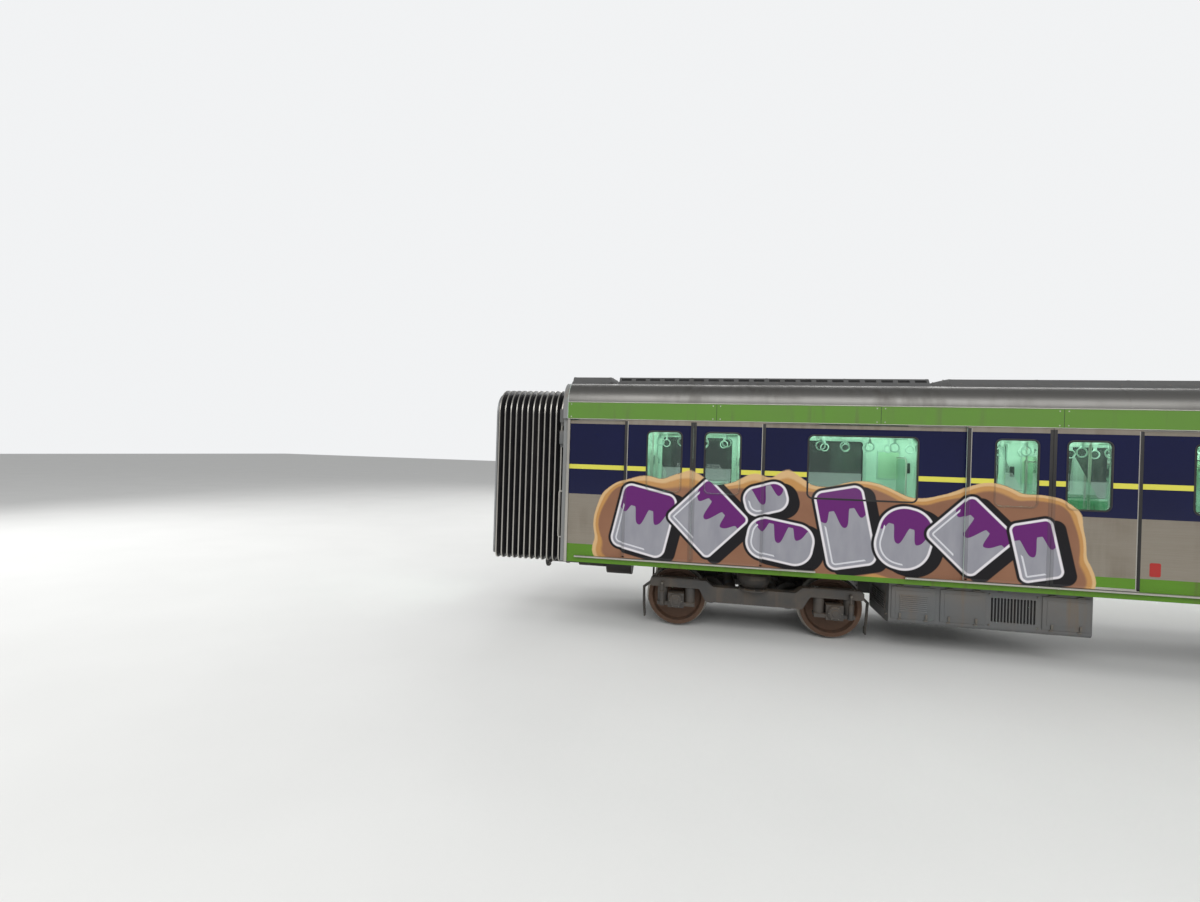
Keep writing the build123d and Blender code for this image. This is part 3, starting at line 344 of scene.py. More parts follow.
SIDES = (("near", -1), ("far", 1))
ENDS = (("left", -1), ("right", 1))
BOTH = (-1, 1)
UP, DOWN = (0, 0, 1), (0, 0, -1)
BOGIE_X = 5.8
HALF_WHEELBASE = 1.1
BOX_FACE_Y = 1.133
BOX_CAP = ((-0.01, 0.088), (0.006, 0.088), (0.012, 0.08), (0.012, 0.05), (0.02, 0.044), (0.02, 0.0))
for end, way in ENDS:
    painted(bogie_paint, f"bogie_frame_{end}", f"axle_boxes_{end}", f"traction_motors_{end}")
    painted(spring_rubber, f"air_springs_{end}")
    caps = bmesh.new()
    heads = bmesh.new()
    for side in BOTH:
        for axle in BOTH:
            hub = (way * BOGIE_X + axle * HALF_WHEELBASE, side * BOX_FACE_Y, AXLE_Z)
            turned(caps, BOX_CAP, hub, (0, side, 0), 32)
            bolts(heads, hub, (0, side, 0), circle=0.089, count=6, size=0.02)
    fitted(caps, f"axle_box_caps_{end}", bogie_paint, f"bogie_{end}")
    fitted(heads, f"axle_box_bolts_{end}", bolt_steel, f"bogie_{end}")

# Life guards hang before the wheels, an air pipe runs along each side frame, and the motors have cooling ribs
# and a terminal box. The places are counted from the middle of the bogie.
DAMPER_TOP = (1.30, 1.14, 0.589)
DAMPER_LID = ((-0.012, 0.03), (-0.012, 0.034), (0.004, 0.034), (0.004, 0.016))
PIN = ((0.0, 0.018), (0.012, 0.018), (0.016, 0.013), (0.016, 0.0))
PIN_Y, PIN_Z = 1.155, 0.71
LIFE_GUARD = ((1.45, 0.93, 0.70), (1.60, 0.80, 0.56), (1.60, 0.752, 0.30), (1.585, 0.752, 0.14))
GUARD_FOOT_Y, GUARD_FOOT_Z = (0.70, 0.80), (0.10, 0.20)
SEAT_PLATE_Y, SEAT_PLATE_Z = (0.935, 1.085), (0.765, 0.782)
SEAT_BOLT_Y, SEAT_BOLT_Z = 1.01, 0.781
AIR_PIPE = ((-1.38, 0.745), (-0.72, 0.745), (-0.60, 0.655), (0.60, 0.655), (0.72, 0.745), (1.38, 0.745))
AIR_PIPE_Y = 0.912
SPRING_Y, SPRING_RING_Z, SPRING_BOLT_Z = 1.01, 0.689, 0.702
SPRING_RING = ((0.2, 0.22), (0.0, 0.014))
MOTOR_X, MOTOR_END_Y = 0.59, 0.224
MOTOR_RIB_YS = (-0.22, -0.16, -0.10, 0.02, 0.08, 0.14)
MOTOR_RIB = ((0.19, 0.214), (0.0, 0.016))
TERMINALS_Y, TERMINALS_Z = (-0.09, 0.03), (0.64, 0.71)
GEAR_FILLER = ((0.0, 0.0), (0.0, 0.06), (0.07, 0.06), (0.09, 0.045), (0.09, 0.0))
FILLER_X, FILLER_Y, FILLER_Z = 0.54, 0.48, 0.655
for end, way in ENDS:
    mid_x = way * BOGIE_X
    fittings = bmesh.new()
    pins = bmesh.new()
    for side in BOTH:
        for axle in BOTH:
            damper_x = mid_x + axle * DAMPER_TOP[0]
            turned(fittings, DAMPER_LID, (damper_x, side * DAMPER_TOP[1], DAMPER_TOP[2]), UP, 16)
            turned(pins, PIN, (damper_x, side * PIN_Y, PIN_Z), (0, side, 0), 12)
            guard = [(mid_x + axle * x, side * y, z) for x, y, z in LIFE_GUARD]
            tube(fittings, guard, 0.02, 8)
            foot_x = guard[-1][0]
            block(fittings, around(foot_x, 0.012), sided(side, GUARD_FOOT_Y), GUARD_FOOT_Z, 0.004, 1)
            seat_x = mid_x + axle * HALF_WHEELBASE
            block(fittings, around(seat_x, 0.33), sided(side, SEAT_PLATE_Y), SEAT_PLATE_Z, 0.004, 1)
            for bolt_x in around(seat_x, 0.26):
                bolts(pins, (bolt_x, side * SEAT_BOLT_Y, SEAT_BOLT_Z), UP, circle=0.04, count=4, size=0.022)
        tube(fittings, [(mid_x + x, side * AIR_PIPE_Y, z) for x, z in AIR_PIPE], 0.014, 8)
        collar(fittings, (mid_x, side * SPRING_Y, SPRING_RING_Z), UP, *SPRING_RING)
        bolts(pins, (mid_x, side * SPRING_Y, SPRING_BOLT_Z), UP, circle=0.19, count=8, size=0.02)
    for axle in BOTH:
        turned(pins, GEAR_FILLER, (mid_x + axle * FILLER_X, FILLER_Y, FILLER_Z), UP, 20)
        motor_x = mid_x + axle * MOTOR_X
        for rib_y in MOTOR_RIB_YS:
            collar(fittings, (motor_x, rib_y, AXLE_Z), (0, 1, 0), *MOTOR_RIB)
        block(fittings, around(motor_x, 0.10), TERMINALS_Y, TERMINALS_Z, 0.012)
        bolts(pins, (motor_x, MOTOR_END_Y, AXLE_Z), (0, 1, 0), circle=0.16, count=8, size=0.022)
    fitted(fittings, f"bogie_fittings_{end}", bogie_paint, f"bogie_{end}")
    fitted(pins, f"bogie_pins_{end}", bolt_steel, f"bogie_{end}")


# Underframe and the boxes hung under it: steel beams and sheet-metal cases in dark grey, browned by the
# track. Lids close on rims with toggle latches, and louvres let the cooling air through.
under_paint = coated("under_paint", weathering, (0.25, 0.002), Colour=srgb(72, 72, 72), Roughness=0.55,
                     Dust=DUST, Amount=0.55, Streaks=0.4, Grain=2.5)
case_paint = coated("case_paint", weathering, (0.25, 0.002), Colour=srgb(94, 96, 97), Roughness=0.48,
                    Dust=DUST, Amount=0.75, Streaks=0.6, Grain=2.0)
CASES = {
    # start x, end x, inner |y|, side, foot z, panels, panel with cooling slots
    "traction_inverter": (-4.05, -1.65, 0.33, -1, 0.418, 4, 2),
    "auxiliary_converter": (-4.05, -2.25, 0.33, 1, 0.438, 3, None),
    "battery_box": (1.50, 3.00, 0.48, -1, 0.478, 3, None),
    "compressor": (3.25, 4.05, 0.43, -1, 0.508, 1, 0),
}
painted(under_paint, "underframe")
painted(case_paint, *CASES, "air_reservoirs")
CASE_Y = 1.23
SOLE_Z = 0.978
LID_GAP = 0.03
LID_FOOT, LID_HEAD = 0.075, 0.06
LATCH_SHARES = (0.2, 0.8)
LOUVRE_LEAN = 25.0
LOUVRE_ROWS, LOUVRE_PITCH = 9, 0.026
END_ROWS, END_PITCH = 7, 0.032
END_VENT_INSET = 0.16
END_BOLT_INSET = 0.07


def proud(side, face, inner, outer):
    """The span of y from inner to outer, both counted outwards from a face of one side."""
    return side * (face + inner), side * (face + outer)


lids = bmesh.new()
latches = bmesh.new()
vents = bmesh.new()
for start, stop, inner_y, side, foot, panels, slotted in CASES.values():
    pitch = (stop - start) / panels
    low, high = foot + LID_FOOT, SOLE_Z - LID_HEAD
    for i in range(panels):
        left = start + i * pitch + LID_GAP
        right = start + (i + 1) * pitch - LID_GAP
        if i == slotted:
            for corner_x in (left - 0.012, right + 0.012):
                for corner_z in (SOLE_Z - 0.08, foot + 0.08):
                    bolt(latches, (corner_x, side * CASE_Y, corner_z), (0, side, 0), 0.022)
            continue
        block(lids, (left, right), proud(side, CASE_Y, -0.004, 0.014), (low, high), 0.006)
        field = proud(side, CASE_Y, 0.010, 0.019)
        block(lids, (left + 0.05, right - 0.05), field, (low + 0.05, high - 0.05), 0.004)
        for share in LATCH_SHARES:
            latch_x = left + share * (right - left)
            catch = proud(side, CASE_Y, 0.012, 0.030)
            block(latches, around(latch_x, 0.014), catch, (low + 0.008, low + 0.075), 0.004)
            keeper = proud(side, CASE_Y, -0.002, 0.012)
            block(latches, around(latch_x, 0.022), keeper, (low - 0.022, low - 0.002), 0.003)
            hinge = [(x, side * (CASE_Y + 0.012), high + 0.012) for x in around(latch_x, 0.04)]
            tube(latches, hinge, 0.009, 8)
        if i % 2 == 0:
            ys = proud(side, CASE_Y, 0.016, 0.026)
            for row in range(LOUVRE_ROWS):
                slat = low + 0.10 + row * LOUVRE_PITCH
                block(vents, (left + 0.10, right - 0.10), ys, (slat, slat + 0.013), about="X",
                      lean=side * LOUVRE_LEAN)
    for end_x, out in ((start, -1), (stop, 1)):
        ys = sided(side, (inner_y + END_VENT_INSET, CASE_Y - END_VENT_INSET))
        for row in range(END_ROWS):
            slat = foot + 0.14 + row * END_PITCH
            block(vents, (end_x + out * 0.001, end_x + out * 0.012), ys, (slat, slat + 0.014),
                  about="Y", lean=out * LOUVRE_LEAN)
        for bolt_y in (inner_y + END_BOLT_INSET, CASE_Y - END_BOLT_INSET):
            for bolt_z in (SOLE_Z - 0.05, foot + 0.10):
                bolt(latches, (end_x, side * bolt_y, bolt_z), (out, 0, 0), 0.024)
fitted(lids, "case_lids", case_paint, "car_body")
fitted(vents, "case_vents", case_paint, "car_body")
fitted(latches, "case_latches", bolt_steel, "car_body")

# Steel air pipes run in clips under the floor, with a sheet-metal cable duct beside them. Straps hold the two
# air reservoirs, and each has an outlet pipe and a drain tap.
PIPES = (
    # start x, end x, y, radius
    (-4.25, 4.25, -0.24, 0.021),
    (-4.25, 4.25, -0.17, 0.014),
    (-4.25, 4.25, 0.16, 0.017),
    (-1.55, 1.40, -1.02, 0.017),
    (-2.10, 1.02, 1.06, 0.014),
)
DUCT_X, DUCT_Y, DUCT_FOOT_Z = (-4.3, 4.3), (0.20, 0.32), 0.885
RESERVOIR_XS = (3.10, 1.75)
RESERVOIR_Y, RESERVOIR_Z = 1.01, 0.758
OUTLET = ((0.60, 1.01, 0.758), (0.665, 1.01, 0.758), (0.665, 1.01, 0.86), (0.665, 0.9, 0.96))
RESERVOIR_STRAP_X = 0.375
RESERVOIR_STRAP = ((0.186, 0.194), (-0.022, 0.022))
DRAIN_TAP = ((0.0, 0.0), (0.0, 0.02), (0.03, 0.02), (0.03, 0.012), (0.05, 0.012), (0.05, 0.0))
DRAIN_Z = 0.57
HANGER_XS = (-3.9, -3.3, -2.7, 1.6, 2.25, 2.9, 3.4, 3.9)
HANGER_Y, HANGER_Z = (-1.235, -1.205), (0.93, 0.985)


def stations(start, stop, margin, pitch, fewest):
    """Even places from end to end of a stretch, about a pitch apart, the first and last a margin in."""
    count = max(fewest, round((stop - start) / pitch))
    return [start + margin + i * (stop - start - 2 * margin) / count for i in range(count + 1)]


pipes = bmesh.new()
clips = bmesh.new()
for start, stop, pipe_y, radius in PIPES:
    pipe_z = SOLE_Z - 0.004 - radius
    tube(pipes, ((start, pipe_y, pipe_z), (stop, pipe_y, pipe_z)), radius, 12)
    for clip_x in stations(start, stop, margin=0.08, pitch=0.9, fewest=2):
        block(clips, around(clip_x, 0.02), (pipe_y - radius - 0.012, pipe_y + radius + 0.012),
              (pipe_z - radius - 0.004, SOLE_Z + 0.001), 0.003, 1)
block(pipes, DUCT_X, DUCT_Y, (DUCT_FOOT_Z, SOLE_Z + 0.001), 0.006)
for reservoir_x in RESERVOIR_XS:
    for strap_x in around(reservoir_x, RESERVOIR_STRAP_X):
        collar(clips, (strap_x, RESERVOIR_Y, RESERVOIR_Z), (1, 0, 0), *RESERVOIR_STRAP)
    tube(pipes, [(reservoir_x + x, y, z) for x, y, z in OUTLET], 0.012, 8)
    turned(clips, DRAIN_TAP, (reservoir_x, RESERVOIR_Y, DRAIN_Z), DOWN, 12)
for hanger_x in HANGER_XS:
    block(clips, around(hanger_x, 0.03), HANGER_Y, HANGER_Z, 0.004, 1)
fitted(pipes, "air_pipes", under_paint, "car_body")
fitted(clips, "pipe_clips", under_paint, "car_body")

# Couplers: cast iron half couplers under both ends, dark and oily. Each has a ring of bolts on its muff
# flange and a collar on the drawbar.
coupler_iron = coated("coupler_iron", weathering, (0.5, 0.003), Colour=srgb(44, 42, 40), Roughness=0.42,
                      Dust=srgb(84, 66, 52), Amount=0.6, Grain=8.0)
painted(coupler_iron, "couplers", "pivot_pins")
COUPLER_Z = 0.748
FLANGE_X = 9.133
FLANGE_CIRCLE = 0.115
DRAWBAR_COLLAR_X = 8.78
DRAWBAR_COLLAR = ((0.062, 0.078), (0.0, 0.05))
studs = bmesh.new()
for end, way in ENDS:
    for i in range(8):
        angle = 2 * pi * i / 8
        spot = (way * FLANGE_X, FLANGE_CIRCLE * cos(angle), COUPLER_Z + FLANGE_CIRCLE * sin(angle))
        bolt(studs, spot, (-way, 0, 0), 0.034)
    collar(studs, (way * DRAWBAR_COLLAR_X, 0, COUPLER_Z), (way, 0, 0), *DRAWBAR_COLLAR, 24)
fitted(studs, "coupler_studs", bolt_steel, "car_body")


# Floor of the saloon: grey rubber with pale flecks, glued down over the whole width from wall to wall.
# It is scuffed lighter and duller in patches.
floor_rubber, tree, shader = finish("floor_rubber")
flecks = step(tree, "TexVoronoi", Vector=place(tree), Scale=120.0, out="Color")
fleck = eased(tree, xyz(tree, flecks)[0], 0.75, 0.85)
scuffs = noise(tree, 1.4, (1, 2.5, 1))
rubber = mixed(tree, scuffs, srgb(86, 92, 96), srgb(112, 116, 118))
feed(tree, shader, Base_Color=mixed(tree, times(tree, fleck, 0.55), rubber, srgb(190, 192, 188)),
     Roughness=plus(tree, times(tree, scuffs, 0.3), 0.35))
painted(floor_rubber, "floor")


# Side walls: stainless steel sheet, brushed along the car. A green band runs along the sill, a dark blue film
# with one yellow stripe covers the window zone, and bright steel is left under the cantrail.
SILL_TOP_Z = 1.245
FILM_Z = (1.978, 3.008)
STRIPE_Z, STRIPE_HALF_H = 2.378, 0.033
GREEN = srgb(88, 134, 38)
STEEL = srgb(168, 160, 148)
NAVY = srgb(12, 18, 62)
YELLOW = srgb(214, 208, 84)
LINING = srgb(206, 226, 214)

# Brushed sheet has a fine grain along the car, and dirt stays on it in blotches that the rain hasn't rinsed.
brushing, given, result = effect(
    "brushing", "Colour Roughness Height", Colour=(0.5, 0.5, 0.5, 1), Roughness=0.3,
    Dirt=(0.1, 0.09, 0.07, 1), Amount=0.4,
)
tree = brushing
grain = noise(tree, 14.0, (0.15, 12, 22), 5.0)
blotch = noise(tree, 1.1, (0.7, 1.6, 1.6), 6.0)
rinsed = noise(tree, 2.2, (4, 4, 0.35), 4.0)
soiled = times(tree, eased(tree, blotch, 0.35, 0.8), eased(tree, rinsed, 0.3, 0.7))
soiled = times(tree, soiled, given["Amount"])
tone = mixed(tree, times(tree, grain, 0.35), given["Colour"], given["Dirt"])
sheen = plus(tree, times(tree, grain, 0.14), times(tree, soiled, 0.3))
feed(tree, result, Colour=mixed(tree, soiled, tone, given["Dirt"]),
     Roughness=plus(tree, given["Roughness"], sheen), Height=grain)

# The livery lies on the sheet by height: sill paint, bare steel, film with its stripe, bare steel again.
livery, given, result = effect("livery", "Colour Metallic Roughness Coat Height", Inside=0.0)
tree = livery
x, y, z = xyz(tree, place(tree))
steel = used(tree, brushing, Colour=STEEL, Roughness=0.3, Dirt=srgb(96, 84, 68), Amount=0.55)
band = times(tree, maths(tree, "GREATER_THAN", z, FILM_Z[0]), maths(tree, "LESS_THAN", z, FILM_Z[1]))
stripe = maths(tree, "COMPARE", z, STRIPE_Z, STRIPE_HALF_H)
sill = maths(tree, "LESS_THAN", z, SILL_TOP_Z)
film = mixed(tree, noise(tree, 1.5), NAVY, srgb(9, 14, 50))
film = mixed(tree, stripe, film, YELLOW)
grimy = used(tree, weathering, Colour=GREEN, Roughness=0.4, Dust=srgb(88, 84, 52), Amount=0.5, Streaks=0.6,
             Grain=2.0)
outer = mixed(tree, sill, mixed(tree, band, steel["Colour"], film), grimy["Colour"])
inside = maths(tree, "LESS_THAN", maths(tree, "ABSOLUTE", y), given["Inside"])
covered = maths(tree, "MAXIMUM", maths(tree, "MAXIMUM", band, sill), inside)
bare = maths(tree, "SUBTRACT", 1.0, covered)
feed(tree, result, Colour=mixed(tree, inside, outer, LINING), Metallic=bare,
     Roughness=plus(tree, times(tree, covered, 0.26), times(tree, bare, steel["Roughness"])),
     Coat=times(tree, band, 0.25), Height=times(tree, bare, steel["Height"]))


# Sprayed picture on the near side, over walls, doors and panes alike: a brown cloud with a tan rim, and on it
# silver-grey slabs, stones and lozenges with white outlines, black shadows and purple paint running down.
# How far a point lies outside a round-cornered box that is turned by a tilt, and where it lies within it.
pebble, given, result = effect(
    "pebble", "Distance Local", Spot=(0, 0, 0), Centre=(0, 0, 0), Half=(0.4, 0.4, 0), Tilt=0.0, Corner=0.2,
)
tree = pebble
local = step(tree, "VectorRotate", settings={"rotation_type": "Z_AXIS"}, Vector=given["Spot"],
             Center=given["Centre"], Angle=given["Tilt"])
local = vectors(tree, "SUBTRACT", local, given["Centre"])
past = vectors(tree, "SUBTRACT", vectors(tree, "ABSOLUTE", local), given["Half"])
past = vectors(tree, "ADD", past, step(tree, "CombineXYZ", given["Corner"], given["Corner"], 0.0))
outside = vectors(tree, "LENGTH", vectors(tree, "MAXIMUM", past, (0, 0, 0)), out=1)
deep = maths(tree, "MINIMUM", maths(tree, "MAXIMUM", xyz(tree, past)[0], xyz(tree, past)[1]), 0.0)
reach = maths(tree, "SUBTRACT", plus(tree, outside, deep), given["Corner"])
feed(tree, result, Distance=reach, Local=local)

# One motif: a thrown shadow, a black and a white line, and silver with purple paint running from its top.
SHADOW_SHIFT = (0.11, -0.05, 0.0)
OUTLINE = 0.022
BLACK = srgb(20, 18, 22)
WHITE = srgb(222, 218, 222)
SILVER = srgb(132, 132, 142)
PALE_SILVER = srgb(160, 160, 166)
PURPLE = srgb(98, 32, 106)
GLINT = srgb(208, 208, 214)
motif, given, result = effect(
    "motif", "Colour", Colour=(0, 0, 0, 1), Spot=(0, 0, 0), Centre=(0, 0, 0), Half=(0.4, 0.4, 0), Tilt=0.0,
    Corner=0.2, Drip=0.1,
)
tree = motif
shape = {key: given[key] for key in ("Spot", "Half", "Tilt", "Corner")}
thrown = used(tree, pebble, Centre=vectors(tree, "ADD", given["Centre"], SHADOW_SHIFT), **shape)
body = used(tree, pebble, Centre=given["Centre"], **shape)
dark = eased(tree, maths(tree, "MINIMUM", thrown["Distance"], body["Distance"]), 0.045, 0.03)
colour = mixed(tree, dark, given["Colour"], BLACK)
colour = mixed(tree, eased(tree, body["Distance"], 0.008, -0.004), colour, WHITE)
silver = mixed(tree, noise(tree, 2.5, (3, 3, 1)), SILVER, PALE_SILVER)
across, along, _ = xyz(tree, body["Local"])
wave = maths(tree, "COSINE", plus(tree, times(tree, across, 12.0), times(tree, given["Drip"], 9.0)))
column = eased(tree, maths(tree, "ABSOLUTE", wave), 0.3, 1.06)
length = times(tree, maths(tree, "COSINE", times(tree, across, 7.0)), 0.09)
run = times(tree, column, plus(tree, length, 0.16))
wet = plus(tree, plus(tree, along, run), given["Drip"])
silver = mixed(tree, eased(tree, wet, 0.24, 0.25), silver, PURPLE)
corner = plus(tree, times(tree, along, 0.8), across)
edge_line = maths(tree, "COMPARE", body["Distance"], -0.075, 0.011)
silver = mixed(tree, times(tree, edge_line, maths(tree, "LESS_THAN", corner, -0.2)), silver, GLINT)
within = eased(tree, body["Distance"], -OUTLINE, -OUTLINE - 0.012)
feed(tree, result, Colour=mixed(tree, within, colour, silver))

# The whole picture: the motifs one over the other on the cloud, masked to what lies outside the linings.
WALL_INSIDE = 1.345
LEAF_INSIDE = 1.385
PICTURE_X = (-8.26, -1.61)
PICTURE_Z = (1.045, 2.5)
SUNK = 0.2
MOTIFS = (
    # x, z, half width, half height, tilt in degrees, corner, drip
    (-7.38, 1.64, 0.40, 0.47, 13, 0.14, 0.08),
    (-6.48, 1.72, 0.41, 0.41, 45, 0.08, 0.04),
    (-5.70, 2.02, 0.30, 0.21, -16, 0.18, 0.07),
    (-5.50, 1.45, 0.45, 0.29, 10, 0.24, 0.03),
    (-4.66, 1.68, 0.32, 0.54, -12, 0.12, 0.00),
    (-3.92, 1.58, 0.35, 0.42, 14, 0.33, 0.10),
    (-3.14, 1.66, 0.39, 0.39, 45, 0.10, 0.06),
    (-2.39, 1.52, 0.25, 0.38, -13, 0.09, 0.08),
)
picture, given, result = effect("picture", "Colour Mask", Inside=WALL_INSIDE)
tree = picture
x, y, z = xyz(tree, place(tree))
spot = step(tree, "CombineXYZ", x, z, 0.0)
middle = (sum(PICTURE_X) / 2, sum(PICTURE_Z) / 2 - SUNK, 0)
half = ((PICTURE_X[1] - PICTURE_X[0]) / 2, (PICTURE_Z[1] - PICTURE_Z[0]) / 2 + SUNK, 0.0)
rim = used(tree, pebble, Spot=spot, Centre=middle, Half=half, Tilt=0.0, Corner=0.55)
puffs = step(tree, "TexVoronoi", Vector=spot, Scale=1.45, settings={"feature": "SMOOTH_F1"}, Smoothness=0.25)
edge = plus(tree, rim["Distance"], times(tree, puffs, 0.42))
fuzz = times(tree, maths(tree, "SUBTRACT", noise(tree, 30.0), 0.5), 0.012)
edge = plus(tree, edge, fuzz)
tan = mixed(tree, eased(tree, edge, -0.035, -0.055), srgb(208, 172, 124), srgb(186, 138, 82))
brown = mixed(tree, noise(tree, 1.7), srgb(122, 84, 64), srgb(152, 110, 84))
colour = mixed(tree, eased(tree, edge, -0.085, -0.125), tan, brown)
for motif_x, motif_z, half_w, half_h, tilt, corner, drip in MOTIFS:
    colour = used(tree, motif, Colour=colour, Spot=spot, Centre=(motif_x, motif_z, 0),
                  Half=(half_w, half_h, 0), Tilt=radians(tilt), Corner=corner, Drip=drip)["Colour"]
near = maths(tree, "GREATER_THAN", times(tree, y, -1.0), given["Inside"])
shown = times(tree, eased(tree, edge, 0.008, -0.006), near)
feed(tree, result, Colour=colour, Mask=times(tree, shown, eased(tree, z, *around(PICTURE_Z[0], 0.004))))


def liveried(name, inside, sprayed):
    """The skin's finish: steel, film and paint up to inside, and the picture over them on the near side."""
    skin, tree, shader = finish(name, Coat_Roughness=0.08, IOR=1.32)
    coat = used(tree, livery, Inside=inside)
    rows = {"Base_Color": coat["Colour"], "Metallic": coat["Metallic"], "Roughness": coat["Roughness"],
            "Coat_Weight": coat["Coat"]}
    if sprayed:
        over = used(tree, picture, Inside=inside)
        bare = maths(tree, "SUBTRACT", 1.0, over["Mask"])
        rows = {key: times(tree, socket, bare) for key, socket in rows.items() if key != "Base_Color"}
        rows["Base_Color"] = mixed(tree, over["Mask"], coat["Colour"], over["Colour"])
        rows["Roughness"] = plus(tree, rows["Roughness"], times(tree, over["Mask"], 0.42))
    feed(tree, shader, **rows)
    bumped(tree, shader, coat["Height"], 0.12, 0.0004)
    return skin


for side_name, side in SIDES:
    painted(liveried(f"side_skin_{side_name}", WALL_INSIDE, side < 0), f"side_wall_{side_name}")
    leaves = [f"door_{side_name}_{number}_{hand}" for number in range(1, 5) for hand, _ in ENDS]
    painted(liveried(f"door_skin_{side_name}", LEAF_INSIDE, side < 0), *leaves)


# Bright steel: the corner pillars, door tracks, sills, poles and the ribs of the bellows. They are drawn or
# pressed from stainless steel, brushed along their length and left bare.
BRIGHT = srgb(206, 203, 196)
BRIGHT_DIRT = srgb(120, 112, 100)
bright_steel = coated("bright_steel", brushing, (0.1, 0.0004), metallic=1.0, Colour=BRIGHT, Roughness=0.24,
                      Dirt=BRIGHT_DIRT, Amount=0.3)
painted(bright_steel, "corner_pillars", "door_sills", "door_tracks", "grab_rails", "bridge_plate",
        "bellows_ribs")


# Window panes: tinted toughened glass, flush in the skin and held by a black rubber profile outside.
# Inside a pale frame laps over each opening's edge.
def rounded(centre, half, corner, outwards=0.0, steps=6):
    """The points of a rectangle with round corners, grown outwards by a distance."""
    points = []
    for quarter, (i, j) in enumerate(((1, 1), (-1, 1), (-1, -1), (1, -1))):
        for k in range(steps + 1):
            angle = pi / 2 * (quarter + k / steps)
            points.append((centre[0] + i * (half[0] - corner) + (corner + outwards) * cos(angle),
                           centre[1] + j * (half[1] - corner) + (corner + outwards) * sin(angle)))
    return points


def hoop(bm, middle, half, corner, profile, side, solid=False):
    """Adds a frame round an opening in a side, or a solid plate. The profile's rows are (outwards, proud)."""
    rings = []
    for outwards, out_y in profile:
        points = rounded((middle[0], middle[2]), half, corner, outwards)
        rings.append([bm.verts.new((x, middle[1] + side * out_y, z)) for x, z in points])
    skinned(bm, rings, looped=not solid)


def clouded(name, first, second, scale, **sockets):
    """A material of two like tones in soft clouds."""
    material, tree, shader = finish(name, **sockets)
    feed(tree, shader, Base_Color=mixed(tree, noise(tree, scale), first, second))
    return material


def oversprayed(name, group, inside, share=1.0, metal=False, **given):
    """A small part's finish, with the sprayed picture over as much as share of it."""
    material, tree, shader = finish(name)
    coat = used(tree, group, **given)
    over = used(tree, picture, Inside=inside)
    covered = times(tree, over["Mask"], share)
    feed(tree, shader, Base_Color=mixed(tree, covered, coat["Colour"], over["Colour"]),
         Roughness=coat["Roughness"])
    if metal:
        feed(tree, shader, Metallic=maths(tree, "SUBTRACT", 1.0, over["Mask"]))
    return material


pane_glass = finish("pane_glass", Base_Color=srgb(214, 232, 224), Roughness=0.02, IOR=1.45,
                    Transmission_Weight=1.0)[0]
painted(pane_glass, "window_glass")
RUBBER = {"Colour": srgb(20, 20, 21), "Roughness": 0.5, "Dust": srgb(76, 70, 64), "Amount": 0.4, "Grain": 6.0}
black_rubber = coated("black_rubber", weathering, **RUBBER)
sprayed_rubber = oversprayed("sprayed_rubber", weathering, LEAF_INSIDE, share=0.72, **RUBBER)
sprayed_steel = oversprayed("sprayed_steel", brushing, LEAF_INSIDE, metal=True, Colour=BRIGHT, Roughness=0.28,
                            Dirt=BRIGHT_DIRT, Amount=0.3)
frame_paint = clouded("frame_paint", srgb(176, 196, 186), srgb(190, 208, 198), 4.0, Roughness=0.35)
film_paint, tree, shader = finish("film_paint", Roughness=0.42)
over = used(tree, picture)
feed(tree, shader, Base_Color=over["Colour"], Alpha=over["Mask"])

SKIN_Y = 1.36
INNER_Y = 1.29
WINDOW_XS = (-4.47, 0.0, 4.47)
WINDOW_MID_Z = 2.488
WINDOW_HALF = (0.69, 0.43)
WINDOW_R = 0.07
GASKET = ((-0.014, -0.002), (-0.014, 0.0006), (0.010, 0.0006), (0.010, -0.002))
INNER_FRAME = ((-0.006, -0.006), (0.0, 0.008), (0.038, 0.008), (0.046, 0.0))
FILM_RIM = ((-0.014, 0.0), (-0.014, 0.0004))
film = bmesh.new()
hoop(film, (WINDOW_XS[0], -SKIN_Y, WINDOW_MID_Z), WINDOW_HALF, WINDOW_R, FILM_RIM, -1, True)
fitted(film, "window_film", film_paint, "car_body", 20.0)
gaskets = bmesh.new()
inner_frames = bmesh.new()
for side in BOTH:
    for window_x in WINDOW_XS:
        hoop(gaskets, (window_x, side * SKIN_Y, WINDOW_MID_Z), WINDOW_HALF, WINDOW_R, GASKET, side)
        middle = (window_x, side * INNER_Y, WINDOW_MID_Z)
        hoop(inner_frames, middle, WINDOW_HALF, WINDOW_R, INNER_FRAME, -side)
fitted(gaskets, "window_gaskets", black_rubber, "car_body", 50.0)
fitted(inner_frames, "window_inner_frames", frame_paint, "car_body")


# Door leaves: panes set in black rubber, a soft rubber nose down each meeting edge, and rubber with one thin
# bright line down the outer edge. A bright kick strip runs along the foot.
DOOR_XS = (-6.705, -2.235, 2.235, 6.705)
LEAF_Y = (1.366, 1.400)
LEAF_Z = (1.088, 3.068)
PANE_X = (0.160, 0.650)
PANE_HALF = ((PANE_X[1] - PANE_X[0]) / 2, WINDOW_HALF[1])
PANE_EDGE = ((-0.001, 0.0), (-0.001, 0.005))
LEAF_GASKET = (
    (-0.012, -0.01), (-0.012, 0.001), (-0.006, 0.0035), (0.007, 0.0035), (0.012, 0.001), (0.012, -0.001),
)
RUBBER_Z = (LEAF_Z[0] + 0.004, LEAF_Z[1] - 0.012)
LINE_Z = (LEAF_Z[0] + 0.006, LEAF_Z[1] - 0.014)
KICK_Z = (LEAF_Z[0] - 0.002, LEAF_Z[0] + 0.028)
